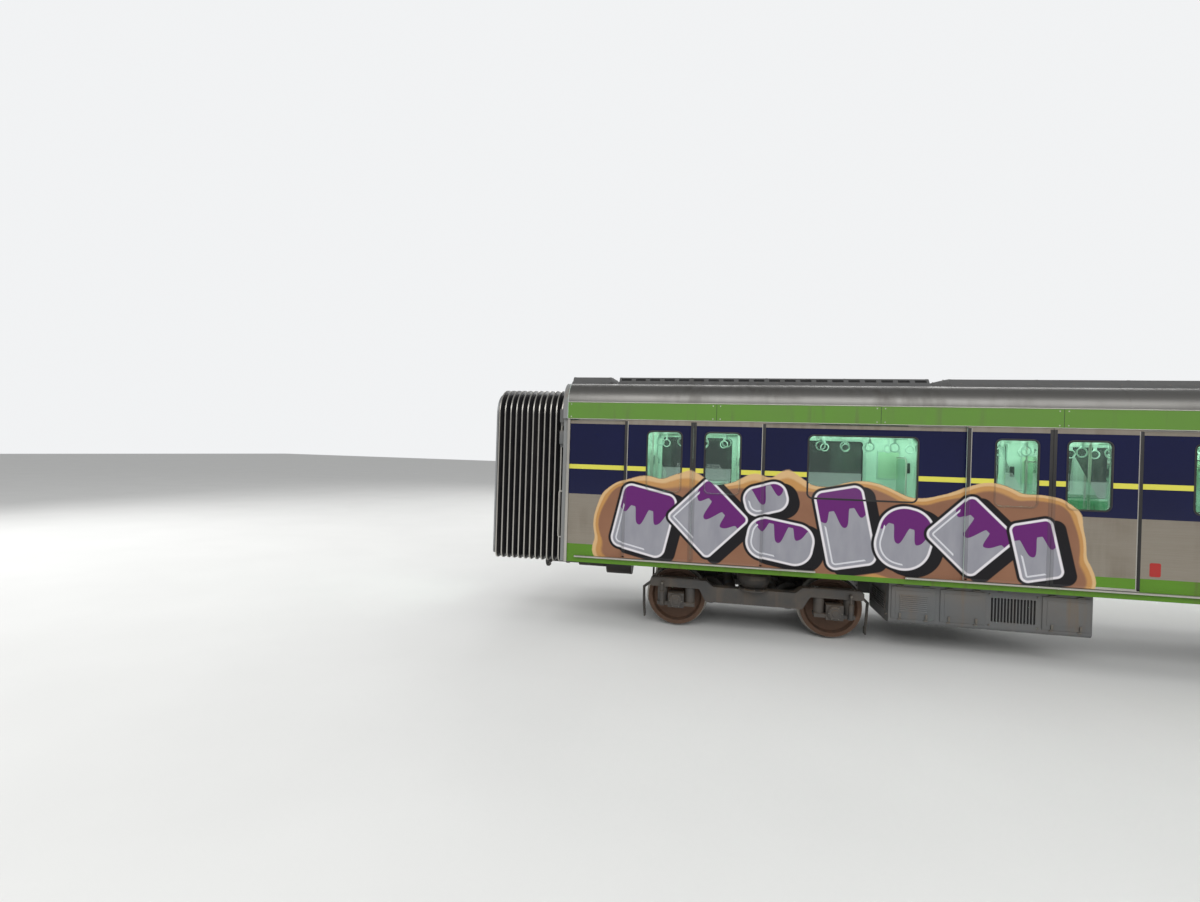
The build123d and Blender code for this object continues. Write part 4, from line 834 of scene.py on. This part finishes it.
LEAF_RUBBERS = (
    # x from the doorway's middle, |y|, z, rounding, steps
    ((0.0008, 0.040), (LEAF_Y[0] + 0.004, LEAF_Y[1] + 0.0025), RUBBER_Z, 0.003, 2),
    ((0.939, 0.9775), (LEAF_Y[1] - 0.004, LEAF_Y[1] + 0.002), RUBBER_Z, 0.002, 2),
)
LEAF_STRIPS = (
    ((0.929, 0.939), (LEAF_Y[1] - 0.002, LEAF_Y[1] + 0.0015), LINE_Z, 0.001, 1),
    ((0.003, 0.972), (LEAF_Y[0] + 0.002, LEAF_Y[1] + 0.002), KICK_Z, 0.002, 2),
)
for side_name, side in SIDES:
    for number, door_x in enumerate(DOOR_XS, 1):
        for hand, way in ENDS:
            body = f"door_{side_name}_{number}_{hand}"
            seals = bmesh.new()
            strips = bmesh.new()
            pane_x = door_x + way * sum(PANE_X) / 2
            hoop(seals, (pane_x, side * LEAF_Y[1], WINDOW_MID_Z), PANE_HALF, WINDOW_R, LEAF_GASKET, side)
            for bench, rows in ((seals, LEAF_RUBBERS), (strips, LEAF_STRIPS)):
                for xs, ys, zs, soft, steps in rows:
                    block(bench, [door_x + way * x for x in xs], sided(side, ys), zs, soft, steps)
            sprayed = side < 0 and PICTURE_X[0] - 0.5 < pane_x < PICTURE_X[1] + 0.5
            rubber = sprayed_rubber if sprayed else black_rubber
            fitted(seals, f"{body}_seals", rubber, body, 50.0)
            steel = sprayed_steel if sprayed else bright_steel
            fitted(strips, f"{body}_strips", steel, body)
            pane = bmesh.new()
            pane_middle = (pane_x, side * (LEAF_Y[1] - 0.008), WINDOW_MID_Z)
            hoop(pane, pane_middle, PANE_HALF, WINDOW_R, PANE_EDGE, side, True)
            fitted(pane, f"{body}_pane", pane_glass, body, 20.0)
            if sprayed:
                film = bmesh.new()
                film_middle = (pane_x, side * (LEAF_Y[1] - 0.003), WINDOW_MID_Z)
                hoop(film, film_middle, PANE_HALF, WINDOW_R, FILM_RIM, side, True)
                fitted(film, f"{body}_film", film_paint, body, 20.0)


# Door releases: shallow red cases let into the skin beside every door, closed and blank. They lie almost
# flush, so that an open leaf passes over them.
release_red = oversprayed("release_red", weathering, WALL_INSIDE, Colour=srgb(168, 32, 28), Roughness=0.4,
                          Dust=srgb(96, 60, 50), Amount=0.4, Grain=8.0)
RELEASE_X, RELEASE_Z = 1.16, 1.36
RELEASE_CASE = ((0.0, -0.002), (0.0, 0.0004), (-0.004, 0.0004))
RELEASE_CASE_HALF, RELEASE_CASE_R = (0.06, 0.085), 0.02
RELEASE_LID = ((0.0, -0.002), (0.0, 0.0008), (-0.003, 0.0009))
RELEASE_LID_HALF, RELEASE_LID_R = (0.048, 0.073), 0.016
cases = bmesh.new()
for side in BOTH:
    for door_x in DOOR_XS:
        middle = (door_x - side * RELEASE_X, side * SKIN_Y, RELEASE_Z)
        hoop(cases, middle, RELEASE_CASE_HALF, RELEASE_CASE_R, RELEASE_CASE, side, True)
        hoop(cases, middle, RELEASE_LID_HALF, RELEASE_LID_R, RELEASE_LID, side, True)
fitted(cases, "door_releases", release_red, "car_body", 20.0)


# Cantrail covers: long pressed steel plates over the door tracks, painted green like the sill. They are
# screwed on in eight lengths a side, with a bright bead along both edges.
cantrail_paint, tree, shader = finish("cantrail_paint", Coat_Weight=0.3, Coat_Roughness=0.15)
worn = used(tree, weathering, Colour=GREEN, Roughness=0.34, Dust=srgb(86, 92, 56), Amount=0.4, Streaks=0.5,
            Grain=1.6)
feed(tree, shader, Base_Color=worn["Colour"], Roughness=worn["Roughness"])
painted(cantrail_paint, "cantrail_covers")
CANT_Y = 1.412
CANT_Z = (3.078, 3.318)
CANT_HALF_L = 8.53
CANT_PLATE_L = 2.1325
BEADS = ((CANT_Y + 0.001, CANT_Z[1] + 0.003, 0.006), (CANT_Y, CANT_Z[0], 0.004))
SCREW = ((-0.001, 0.008), (0.001, 0.008), (0.002, 0.005), (0.002, 0.0))
SCREW_INSET_X, SCREW_INSET_Z = 0.05, 0.03
seams = bmesh.new()
beads = bmesh.new()
for side in BOTH:
    for i in range(-4, 5):
        seam_x = i * CANT_PLATE_L
        if abs(i) < 4:
            block(seams, around(seam_x, 0.003), proud(side, CANT_Y, -0.002, 0.0006),
                  (CANT_Z[0] + 0.001, CANT_Z[1] - 0.001))
        for screw_x in around(seam_x, SCREW_INSET_X):
            for screw_z in (CANT_Z[0] + SCREW_INSET_Z, CANT_Z[1] - SCREW_INSET_Z):
                if abs(screw_x) < CANT_HALF_L:
                    turned(beads, SCREW, (screw_x, side * CANT_Y, screw_z), (0, side, 0), 10)
    for bead_y, bead_z, radius in BEADS:
        tube(beads, [(x, side * bead_y, bead_z) for x in (-CANT_HALF_L, CANT_HALF_L)], radius, 8)
fitted(seams, "cantrail_seams", black_rubber, "car_body")
fitted(beads, "cantrail_beads", bright_steel, "car_body")


# Roof: stainless sheet rolled over the shoulders and left bare. It is brushed along the car and grimy on top,
# and the covers and air units on it are ribbed in the same sheet.
roof_steel = coated("roof_steel", brushing, (0.15, 0.0005), metallic=1.0, Colour=srgb(132, 131, 128),
                    Roughness=0.3, Dirt=srgb(76, 72, 66), Amount=0.7)
COVER = {"Colour": srgb(138, 138, 138), "Roughness": 0.34, "Dirt": srgb(84, 81, 76), "Amount": 0.6}
cover_steel = coated("cover_steel", brushing, (0.15, 0.0005), metallic=0.9, **COVER)
fan_plastic = coated("fan_plastic", weathering, Colour=srgb(38, 38, 40), Roughness=0.45,
                     Dust=srgb(84, 78, 70), Amount=0.6, Grain=7.0)
WELL_HALF_Y, WELL_TOP_Z = 0.335, 3.755
unit_steel, tree, shader = finish("unit_steel")
satin = used(tree, brushing, **COVER)
fan = used(tree, weathering, Colour=srgb(34, 34, 36), Roughness=0.45, Dust=srgb(66, 63, 60), Amount=0.3)
x, y, z = xyz(tree, place(tree))
well = times(tree, maths(tree, "LESS_THAN", maths(tree, "ABSOLUTE", y), WELL_HALF_Y),
             maths(tree, "LESS_THAN", z, WELL_TOP_Z))
feed(tree, shader, Base_Color=mixed(tree, well, satin["Colour"], fan["Colour"]),
     Metallic=maths(tree, "SUBTRACT", 0.9, times(tree, well, 0.9)), Roughness=satin["Roughness"])
painted(roof_steel, "roof")
painted(cover_steel, "roof_covers")
painted(unit_steel, "air_units")

SHOULDER_Y, SHOULDER_Z, SHOULDER_R = 1.112, 3.318, 0.3
SEAM_PITCH = 1.4
SEAM_START, SEAM_STEP = 3, 8.1
LEDGE_Y, LEDGE_Z = 1.009, 3.6668
TOP_EDGE_Y, TOP_EDGE_Z = 0.94, 3.7408
TOP_CROWN = 0.026
TOP_BOLT_SHARES = (0.35, 0.75)
LEDGE_BOLT_PITCH = 0.27
VENT_Y, VENT_Z = 0.966, 3.702
VENT_LEAN = radians(38.0)
SLAT_PITCH = 0.013
GUARD_Z = 3.7665
GUARD_R = 0.345
GUARD_RINGS = (0.12, 0.17, 0.22, 0.27, 0.32)
GUARD_RIM = ((0.33, 0.352), (-0.006, 0.006))
STRETCHES = (
    # start x, end x, fans
    (7.98, 8.57, 0), (3.54, 7.85, 4), (0.06, 3.29, 0),
    (-3.29, -0.06, 0), (-7.85, -3.54, 4), (-8.57, -7.98, 0),
)


def saddle(bm, line, middle, half, thick):
    """Adds a thin strap across the roof, along a line of (y, z, outward y, outward z) rows."""
    start, stop = around(middle, half)
    rows = []
    for y, z, out_y, out_z in line:
        foot = (y - out_y * 0.003, z - out_z * 0.003)
        head = (y + out_y * thick, z + out_z * thick)
        corners = ((start, foot), (stop, foot), (stop, head), (start, head))
        rows.append([bm.verts.new((x, *spot)) for x, spot in corners])
    skinned(bm, rows)


def crown_z(share):
    """The height of a cover's arched top, at a share of the way from its middle to its edge."""
    return TOP_EDGE_Z + TOP_CROWN * (1 - share * share)


def middles(start, stop, count):
    """The middle of each of a stretch's equal shares."""
    return [start + (i + 0.5) * (stop - start) / count for i in range(count)]


def circle(radius, steps):
    """The points of a closed circle about (0, 0)."""
    return [(radius * cos(2 * pi * k / steps), radius * sin(2 * pi * k / steps)) for k in range(steps + 1)]


straps = bmesh.new()
heads = bmesh.new()
grilles = bmesh.new()
guards = bmesh.new()
for i in range(-6, 7):
    for side in BOTH:
        line = []
        for k in range(11):
            angle = radians(SEAM_START + SEAM_STEP * k)
            out_y, out_z = cos(angle), sin(angle)
            strap_y = side * (SHOULDER_Y + SHOULDER_R * out_y)
            line.append((strap_y, SHOULDER_Z + SHOULDER_R * out_z, side * out_y, out_z))
        saddle(straps, line, i * SEAM_PITCH, 0.009, 0.0015)
top_line = [(k / 8 * (TOP_EDGE_Y - 0.01), crown_z(k / 8), 0.0, 1.0) for k in range(-8, 9)]
for start, stop, fans in STRETCHES:
    for strap_x in stations(start, stop, margin=0.02, pitch=1.07, fewest=1):
        saddle(straps, top_line, strap_x, 0.014, 0.004)
        for side in BOTH:
            for share in TOP_BOLT_SHARES:
                bolt(heads, (strap_x, side * share * TOP_EDGE_Y, crown_z(share) + 0.003), UP, 0.018)
    for bolt_x in middles(start, stop, max(2, round((stop - start) / LEDGE_BOLT_PITCH))):
        for side in BOTH:
            bolt(heads, (bolt_x, side * LEDGE_Y, LEDGE_Z), UP, 0.016)
    for vent_x in middles(start, stop, 5 * fans):
        for row in (-1, 0, 1):
            slat_y = VENT_Y - SLAT_PITCH * row * sin(VENT_LEAN)
            slat_z = VENT_Z + SLAT_PITCH * row * cos(VENT_LEAN)
            for side in BOTH:
                slat = proud(side, slat_y, -0.006, 0.002)
                block(grilles, around(vent_x, 0.076), slat, around(slat_z, 0.002))
    for fan_x in middles(start, stop, fans):
        for radius in GUARD_RINGS:
            tube(guards, [(fan_x + x, y, GUARD_Z) for x, y in circle(radius, 32)], 0.003, 6)
        for k in range(6):
            x, y = GUARD_R * cos(pi * k / 6), GUARD_R * sin(pi * k / 6)
            tube(guards, ((fan_x - x, -y, GUARD_Z - 0.001), (fan_x + x, y, GUARD_Z - 0.001)), 0.004, 6)
        collar(guards, (fan_x, 0, GUARD_Z - 0.002), UP, *GUARD_RIM)
fitted(straps, "roof_straps", roof_steel, "car_body")
fitted(heads, "roof_bolts", bolt_steel, "car_body")
fitted(grilles, "roof_grilles", fan_plastic, "car_body")
fitted(guards, "fan_guards", cover_steel, "car_body")


# Ends of the body: flat grey walls round the gangway, with hand rails and blank socket boxes, and satin
# aluminium frames where the bellows clamp on. The loose frame has low bolt heads and a sealing cord.
INNER_END_X = 8.534
end_paint, tree, shader = finish("end_paint")
worn = used(tree, weathering, Colour=srgb(128, 130, 130), Roughness=0.45, Dust=DUST, Amount=0.4, Streaks=0.7,
            Grain=1.8)
inside = maths(tree, "LESS_THAN", maths(tree, "ABSOLUTE", xyz(tree, place(tree))[0]), INNER_END_X)
feed(tree, shader, Base_Color=mixed(tree, inside, worn["Colour"], LINING), Roughness=worn["Roughness"])
bumped(tree, shader, worn["Height"], 0.2, 0.0015)
painted(end_paint, "end_walls")
frame_metal = coated("frame_metal", brushing, metallic=1.0, Colour=srgb(176, 178, 180), Roughness=0.4,
                     Dirt=srgb(96, 92, 86), Amount=0.6)
painted(frame_metal, "portal_frames")
BODY_END_X = 8.6
PORTAL_BOLT_Y = 1.12
PORTAL_BOLT_ZS = (3.438, 1.018)
PORTAL_SIDE_ZS = (1.25, 1.6, 1.95, 2.3, 2.65, 3.0)
FREE_FACE_X = -9.73
FREE_BOLT_Y, FREE_BOLT_Z = 1.06, 3.38
SIDE_BOLT_START, SIDE_BOLT_PITCH = 1.25, 0.235
ACROSS_BOLT_PITCH = 0.25
LOW_HEAD = ((-0.002, 0.017), (0.0008, 0.017), (0.0016, 0.013), (0.0016, 0.0))
SEAL_MID, SEAL_HALF, SEAL_R = (0.0, 2.155), (0.775, 1.095), 0.13
HAND_RAIL_Y = 1.29
HAND_RAIL = ((0.0, 1.32), (0.045, 1.32), (0.06, 1.34), (0.06, 1.98), (0.045, 2.0), (0.0, 2.0))
RAIL_FOOT = ((-0.002, 0.026), (0.006, 0.026), (0.008, 0.02), (0.008, 0.0))
SOCKET = ((0.0, 0.0), (0.0, 0.034), (0.05, 0.034), (0.05, 0.0))
SOCKET_Y = 1.27
SOCKET_BOX_Y, SOCKET_BOX_H = (1.20, 1.34), 0.2
SOCKET_BOX_ZS = (2.70, 3.02)
end_bolts = bmesh.new()
end_boxes = bmesh.new()
seal = bmesh.new()
loop = [(FREE_FACE_X + 0.0045, y, z) for y, z in rounded(SEAL_MID, SEAL_HALF, SEAL_R)]
tube(seal, loop + loop[:1], 0.006, 8)
for i in range(9):
    for side in BOTH:
        bolt_z = SIDE_BOLT_START + i * SIDE_BOLT_PITCH
        turned(end_bolts, LOW_HEAD, (FREE_FACE_X, side * FREE_BOLT_Y, bolt_z), (-1, 0, 0), 12)
for i in range(-3, 4):
    turned(end_bolts, LOW_HEAD, (FREE_FACE_X, i * ACROSS_BOLT_PITCH, FREE_BOLT_Z), (-1, 0, 0), 12)
for end, way in ENDS:
    rim_x = way * (BODY_END_X + 0.0245)
    for bolt_z in PORTAL_SIDE_ZS:
        for side in BOTH:
            bolt(end_bolts, (rim_x, side * PORTAL_BOLT_Y, bolt_z), (way, 0, 0), 0.024)
    for i in range(-3, 4):
        for bolt_z in PORTAL_BOLT_ZS:
            bolt(end_bolts, (rim_x, i * ACROSS_BOLT_PITCH, bolt_z), (way, 0, 0), 0.024)
    face = way * BODY_END_X
    for side in BOTH:
        rail_y = side * HAND_RAIL_Y
        tube(end_bolts, [(face + way * out, rail_y, z) for out, z in HAND_RAIL], 0.012, 10)
        for foot_z in (HAND_RAIL[0][1], HAND_RAIL[-1][1]):
            turned(end_bolts, RAIL_FOOT, (face, rail_y, foot_z), (way, 0, 0), 16)
        for box_z in SOCKET_BOX_ZS:
            xs = (face - way * 0.002, face + way * 0.07)
            block(end_boxes, xs, sided(side, SOCKET_BOX_Y), (box_z, box_z + SOCKET_BOX_H), 0.01)
            turned(end_boxes, SOCKET, (face + way * 0.035, side * SOCKET_Y, box_z + 0.002), DOWN, 16)
fitted(end_bolts, "end_bolts", bright_steel, "car_body")
fitted(end_boxes, "end_boxes", case_paint, "car_body")
fitted(seal, "gangway_seal", black_rubber, "car_body", 50.0)


# Bellows: black coated fabric in deep pleats, glossy on the folds and dusty in the valleys, clamped on by
# thin bright ribs round every crest. The lining of the way through is finely pleated grey cloth.
LINED_HALF_Y, LINED_Z = 0.703, (1.13, 3.18)
bellows_fabric, tree, shader = finish("bellows_fabric")
weave = noise(tree, 240.0, detail=2.0)
worn = used(tree, weathering, Colour=srgb(26, 26, 29), Roughness=0.36, Dust=srgb(66, 62, 58), Amount=0.45,
            Grain=5.0)
x, y, z = xyz(tree, place(tree))
lined = times(tree, maths(tree, "LESS_THAN", maths(tree, "ABSOLUTE", y), LINED_HALF_Y),
              maths(tree, "GREATER_THAN", z, LINED_Z[0]))
lined = times(tree, lined, maths(tree, "LESS_THAN", z, LINED_Z[1]))
feed(tree, shader, Base_Color=mixed(tree, lined, worn["Colour"], srgb(96, 100, 104)),
     Roughness=worn["Roughness"])
fold = maths(tree, "ABSOLUTE", maths(tree, "SINE", times(tree, x, pi / 0.09)))
fold = times(tree, times(tree, fold, lined), 9.0)
bumped(tree, shader, plus(tree, weave, fold), 0.4, 0.0012)
painted(bellows_fabric, "bellows")


# Inside: a white laminate ceiling with two lit strips behind ribbed milky lenses, and seats moulded in green
# plastic, bolted along the walls.
ceiling_laminate = clouded("ceiling_laminate", srgb(214, 228, 218), srgb(226, 236, 228), 0.8, Roughness=0.4)
painted(ceiling_laminate, "ceiling")
lamp_lens, tree, shader = finish("lamp_lens", Base_Color=srgb(235, 245, 238), Roughness=0.4,
                                 Emission_Strength=18.0)
ribs = noise(tree, 40.0, (1, 0.05, 0.05))
feed(tree, shader, Emission_Color=mixed(tree, ribs, srgb(206, 246, 222), srgb(228, 255, 238)))
painted(lamp_lens, "ceiling_lights")
seat_shell = clouded("seat_shell", srgb(46, 118, 74), srgb(60, 134, 86), 3.0, Roughness=0.35)
painted(seat_shell, "seats")

# On the benches lie shaped plastic pads, one a passenger. Glazed screens in bent steel tube close their ends
# beside the doors.
FLOOR_Z = 1.128
BENCHES = (
    # middle x, pads, pitch
    (-4.47, 5, 0.476), (0.0, 5, 0.476), (4.47, 5, 0.476), (-7.9875, 2, 0.430), (7.9875, 2, 0.430),
)
PAD_GAP = 0.008
PAD_Y, PAD_Z = (0.86, 1.16), (0.428, 0.462)
BACK_Y, BACK_Z = (1.185, 1.222), (0.49, 0.88)
BACK_LEAN = -4.7
SCREEN_GAP = 0.045
LAST_SCREEN_X = 8.4
SCREEN_Y = (0.80, 1.27)
SCREEN_PANES = ((0.80, 1.50), (0.25, 0.78))
SCREEN_RIM = ((1.289, 1.52), (0.86, 1.52), (0.79, 1.45), (0.79, 0.002))
SCREEN_BAR_Y, SCREEN_BARS = (0.79, 1.289), (0.79, 0.24)


def lifted(zs):
    """A span of heights over the floor."""
    return [FLOOR_Z + z for z in zs]


pads = bmesh.new()
screens = bmesh.new()
screen_rims = bmesh.new()
for bench_x, count, pitch in BENCHES:
    for i in range(count):
        pad_x = bench_x + (i - (count - 1) / 2) * pitch
        xs = (pad_x - pitch / 2 + PAD_GAP, pad_x + pitch / 2 - PAD_GAP)
        for side in BOTH:
            block(pads, xs, sided(side, PAD_Y), lifted(PAD_Z), 0.015, 3)
            block(pads, xs, sided(side, BACK_Y), lifted(BACK_Z), 0.012, 3, about="X", lean=side * BACK_LEAN)
    for screen_x in around(bench_x, count * pitch / 2 + SCREEN_GAP):
        if abs(screen_x) > LAST_SCREEN_X:
            continue
        for side in BOTH:
            for zs in SCREEN_PANES:
                block(screens, around(screen_x, 0.006), sided(side, SCREEN_Y), lifted(zs), 0.002, 1)
            tube(screen_rims, [(screen_x, side * y, FLOOR_Z + z) for y, z in SCREEN_RIM], 0.014, 12)
            for bar in SCREEN_BARS:
                tube(screen_rims, [(screen_x, side * y, FLOOR_Z + bar) for y in SCREEN_BAR_Y], 0.011, 10)
fitted(pads, "seat_pads", seat_shell, "car_body", 50.0)
fitted(screens, "door_screens", pane_glass, "car_body")
fitted(screen_rims, "screen_rims", bright_steel, "car_body")

# Strap handles: loops of pale webbing over the overhead rails, each held by a block with a moulded plastic
# ring.
RAIL_Y, RAIL_Z = 0.721, 3.058
STRAP_X, STRAP_PITCH, STRAP_COUNT = -7.9, 0.335, 48
STRAP_BANDS = (
    # y from the rail's middle, z from the rail's middle
    ((-0.020, -0.0165), (-0.19, 0.016)),
    ((0.0165, 0.020), (-0.19, 0.016)),
    ((-0.020, 0.020), (0.0155, 0.020)),
)
STRAP_BLOCK_Z = (-0.215, -0.185)
RING_DROP, RING_R = 0.268, 0.062
webbing = bmesh.new()
handles = bmesh.new()
for i in range(STRAP_COUNT):
    strap_x = STRAP_X + i * STRAP_PITCH
    for side in BOTH:
        rail_y = side * RAIL_Y
        for ys, zs in STRAP_BANDS:
            block(webbing, around(strap_x, 0.014), [rail_y + y for y in ys], [RAIL_Z + z for z in zs])
        zs = [RAIL_Z + z for z in STRAP_BLOCK_Z]
        block(webbing, around(strap_x, 0.018), around(rail_y, 0.022), zs, 0.005)
        ring = [(strap_x + x, rail_y, RAIL_Z - RING_DROP + z) for x, z in circle(RING_R, 20)]
        tube(handles, ring, 0.009, 8)
fitted(webbing, "strap_webbing", frame_paint, "car_body")
fitted(handles, "strap_handles", frame_paint, "car_body", 60.0)

# Linings: blank posters in pale frames on the piers, door grips, covers over the doors, round upper corners
# in the doorways, sloping cornices under the ceiling and the slots of the air outlets along its middle.
LINING_Y = 1.2915
PIER_XS = (-5.57, -3.37, -1.10, 1.10, 3.37, 5.57)
POSTER_HALF_W, POSTER_Z = 0.17, (2.28, 2.74)
POSTER_Y = (LINING_Y, 1.283)
POSTER_RIM = 0.02
POSTER_RIM_Y = (LINING_Y, 1.277)
GRIP_X = 0.815
GRIP_Y, GRIP_Z = (LINING_Y, 1.262), (2.38, 2.56)
DOOR_COVER_Y, DOOR_COVER_Z = (1.2405, 1.222), (3.02, 3.17)
ARCH_X, ARCH_Z, ARCH_R = 0.74, 2.978, 0.06
ARCH = []
for k in range(7):
    ARCH.append((ARCH_X - ARCH_R * (1 - cos(pi / 12 * k)), ARCH_Z - ARCH_R * (1 - sin(pi / 12 * k))))
ARCH.append((ARCH_X + 0.0005, ARCH_Z + 0.0005))
ARCH_YS = (1.291, 1.359)
CORNICE_Y, CORNICE_Z = (1.075, 1.255), (3.14, 3.152)
CORNICE_LEAN = -48.0
CEILING_Z = 3.248
SLOT_X, SLOT_PITCH, SLOT_COUNT = -8.05, 0.7, 24
SLOT_HALF_L, SLOT_Y = 0.26, (-0.11, 0.11)
posters = bmesh.new()
poster_rims = bmesh.new()
cabin_boxes = bmesh.new()
for side in BOTH:
    for pier_x in PIER_XS:
        left, right = around(pier_x, POSTER_HALF_W)
        low, high = POSTER_Z
        block(posters, (left, right), sided(side, POSTER_Y), POSTER_Z)
        xs = (left - POSTER_RIM, right + POSTER_RIM)
        zs = (low - POSTER_RIM, high + POSTER_RIM)
        for bar in ((xs, (zs[0], low)), (xs, (high, zs[1])), ((xs[0], left), zs), ((right, xs[1]), zs)):
            block(poster_rims, bar[0], sided(side, POSTER_RIM_Y), bar[1], 0.002, 1)
    for door_x in DOOR_XS:
        for grip_x in around(door_x, GRIP_X):
            block(cabin_boxes, around(grip_x, 0.034), sided(side, GRIP_Y), GRIP_Z, 0.012)
        block(poster_rims, around(door_x, 0.72), sided(side, DOOR_COVER_Y), DOOR_COVER_Z, 0.006)
        for way in BOTH:
            rings = []
            for arch_y in ARCH_YS:
                rings.append([poster_rims.verts.new((door_x + way * x, side * arch_y, z)) for x, z in ARCH])
            skinned(poster_rims, rings)
    block(poster_rims, around(0.0, 8.50), sided(side, CORNICE_Y), CORNICE_Z, about="X",
          lean=side * CORNICE_LEAN)
for i in range(SLOT_COUNT):
    slot = around(SLOT_X + i * SLOT_PITCH, SLOT_HALF_L)
    block(cabin_boxes, slot, SLOT_Y, (CEILING_Z - 0.006, CEILING_Z + 0.001), 0.003, 1)
poster_paper = clouded("poster_paper", srgb(150, 196, 160), srgb(204, 222, 196), 1.1, Roughness=0.55)
fitted(posters, "blank_posters", poster_paper, "car_body")
fitted(poster_rims, "lining_trims", frame_paint, "car_body")
dark_plastic, tree, shader = finish("dark_plastic")
feed(tree, shader, Base_Color=mixed(tree, noise(tree, 3.0), srgb(34, 36, 38), srgb(46, 48, 50)),
     Roughness=plus(tree, times(tree, noise(tree, 30.0), 0.1), 0.35))
fitted(cabin_boxes, "cabin_boxes", dark_plastic, "car_body")


# Studio: a pale floor at the flange tips, a pale sky, soft lamps on both sides and the photograph's camera.
# The camera stands eight metres off the near side, level with the windows, by the bellows end.
def lamp(name, at, aim, size, watts):
    """A soft rectangular lamp that looks at a point."""
    light = bpy.data.lights.new(name, "AREA")
    light.shape = "RECTANGLE"
    light.size, light.size_y = size
    light.energy = watts
    holder = bpy.data.objects.new(name, light)
    holder.location = at
    holder.rotation_euler = (Vector(aim) - Vector(at)).to_track_quat("-Z", "Y").to_euler()
    bpy.context.scene.collection.objects.link(holder)


lamp("near_lamp", (0.0, -20.0, 15.0), (0.0, 0.0, 1.5), (34.0, 12.0), 3200.0)
lamp("far_lamp", (0.0, 20.0, 15.0), (0.0, 0.0, 1.5), (34.0, 12.0), 2800.0)
lamp("left_lamp", (-26.0, 0.0, 12.0), (-6.0, 0.0, 1.5), (12.0, 12.0), 1600.0)
lamp("right_lamp", (26.0, 0.0, 12.0), (6.0, 0.0, 1.5), (12.0, 12.0), 1600.0)

scene = bpy.context.scene
scene.view_settings.view_transform = "Standard"
world = bpy.data.worlds.new("studio")
world.use_nodes = True
scene.world = world
tree = world.node_tree
tree.nodes.clear()
rays = tree.nodes.new("ShaderNodeLightPath").outputs
strength = step(tree, "MapRange", Value=rays["Is Glossy Ray"], To_Min=0.55, To_Max=0.4)
for ray, share in (("Is Transmission Ray", 0.1), ("Is Camera Ray", 0.95)):
    strength = step(tree, "MapRange", Value=rays[ray], To_Min=strength, To_Max=share)
sky = step(tree, "Background", (0.93, 0.94, 0.95, 1.0), strength)
feed(tree, tree.nodes.new("ShaderNodeOutputWorld").inputs, Surface=sky)

GROUND_HALF = 90.0
ground_paint = clouded("ground_paint", srgb(222, 222, 220), srgb(230, 230, 228), 0.6, Roughness=0.85)
bm = bmesh.new()
corners = ((-1, -1), (1, -1), (1, 1), (-1, 1))
bm.faces.new([bm.verts.new((i * GROUND_HALF, j * GROUND_HALF, 0.0)) for i, j in corners])
mesh = bpy.data.meshes.new("ground")
bm.to_mesh(mesh)
bm.free()
mesh.materials.append(ground_paint)
ground_piece = bpy.data.objects.new("ground", mesh)
scene.collection.objects.link(ground_piece)

CAMERA_AT = (-6.51, -9.41, 2.628)
TURN, DROP, LEAN = 10.81, 0.1, 1.73
camera = bpy.data.objects.new("camera", bpy.data.cameras.new("camera"))
camera.data.sensor_width = 36.0
camera.data.lens = 16.857
camera.matrix_world = (
    Matrix.Translation(CAMERA_AT)
    @ Matrix.Rotation(radians(TURN), 4, "Z")
    @ Matrix.Rotation(radians(90.0 - DROP), 4, "X")
    @ Matrix.Rotation(radians(LEAN), 4, "Z")
)
scene.collection.objects.link(camera)
scene.camera = camera
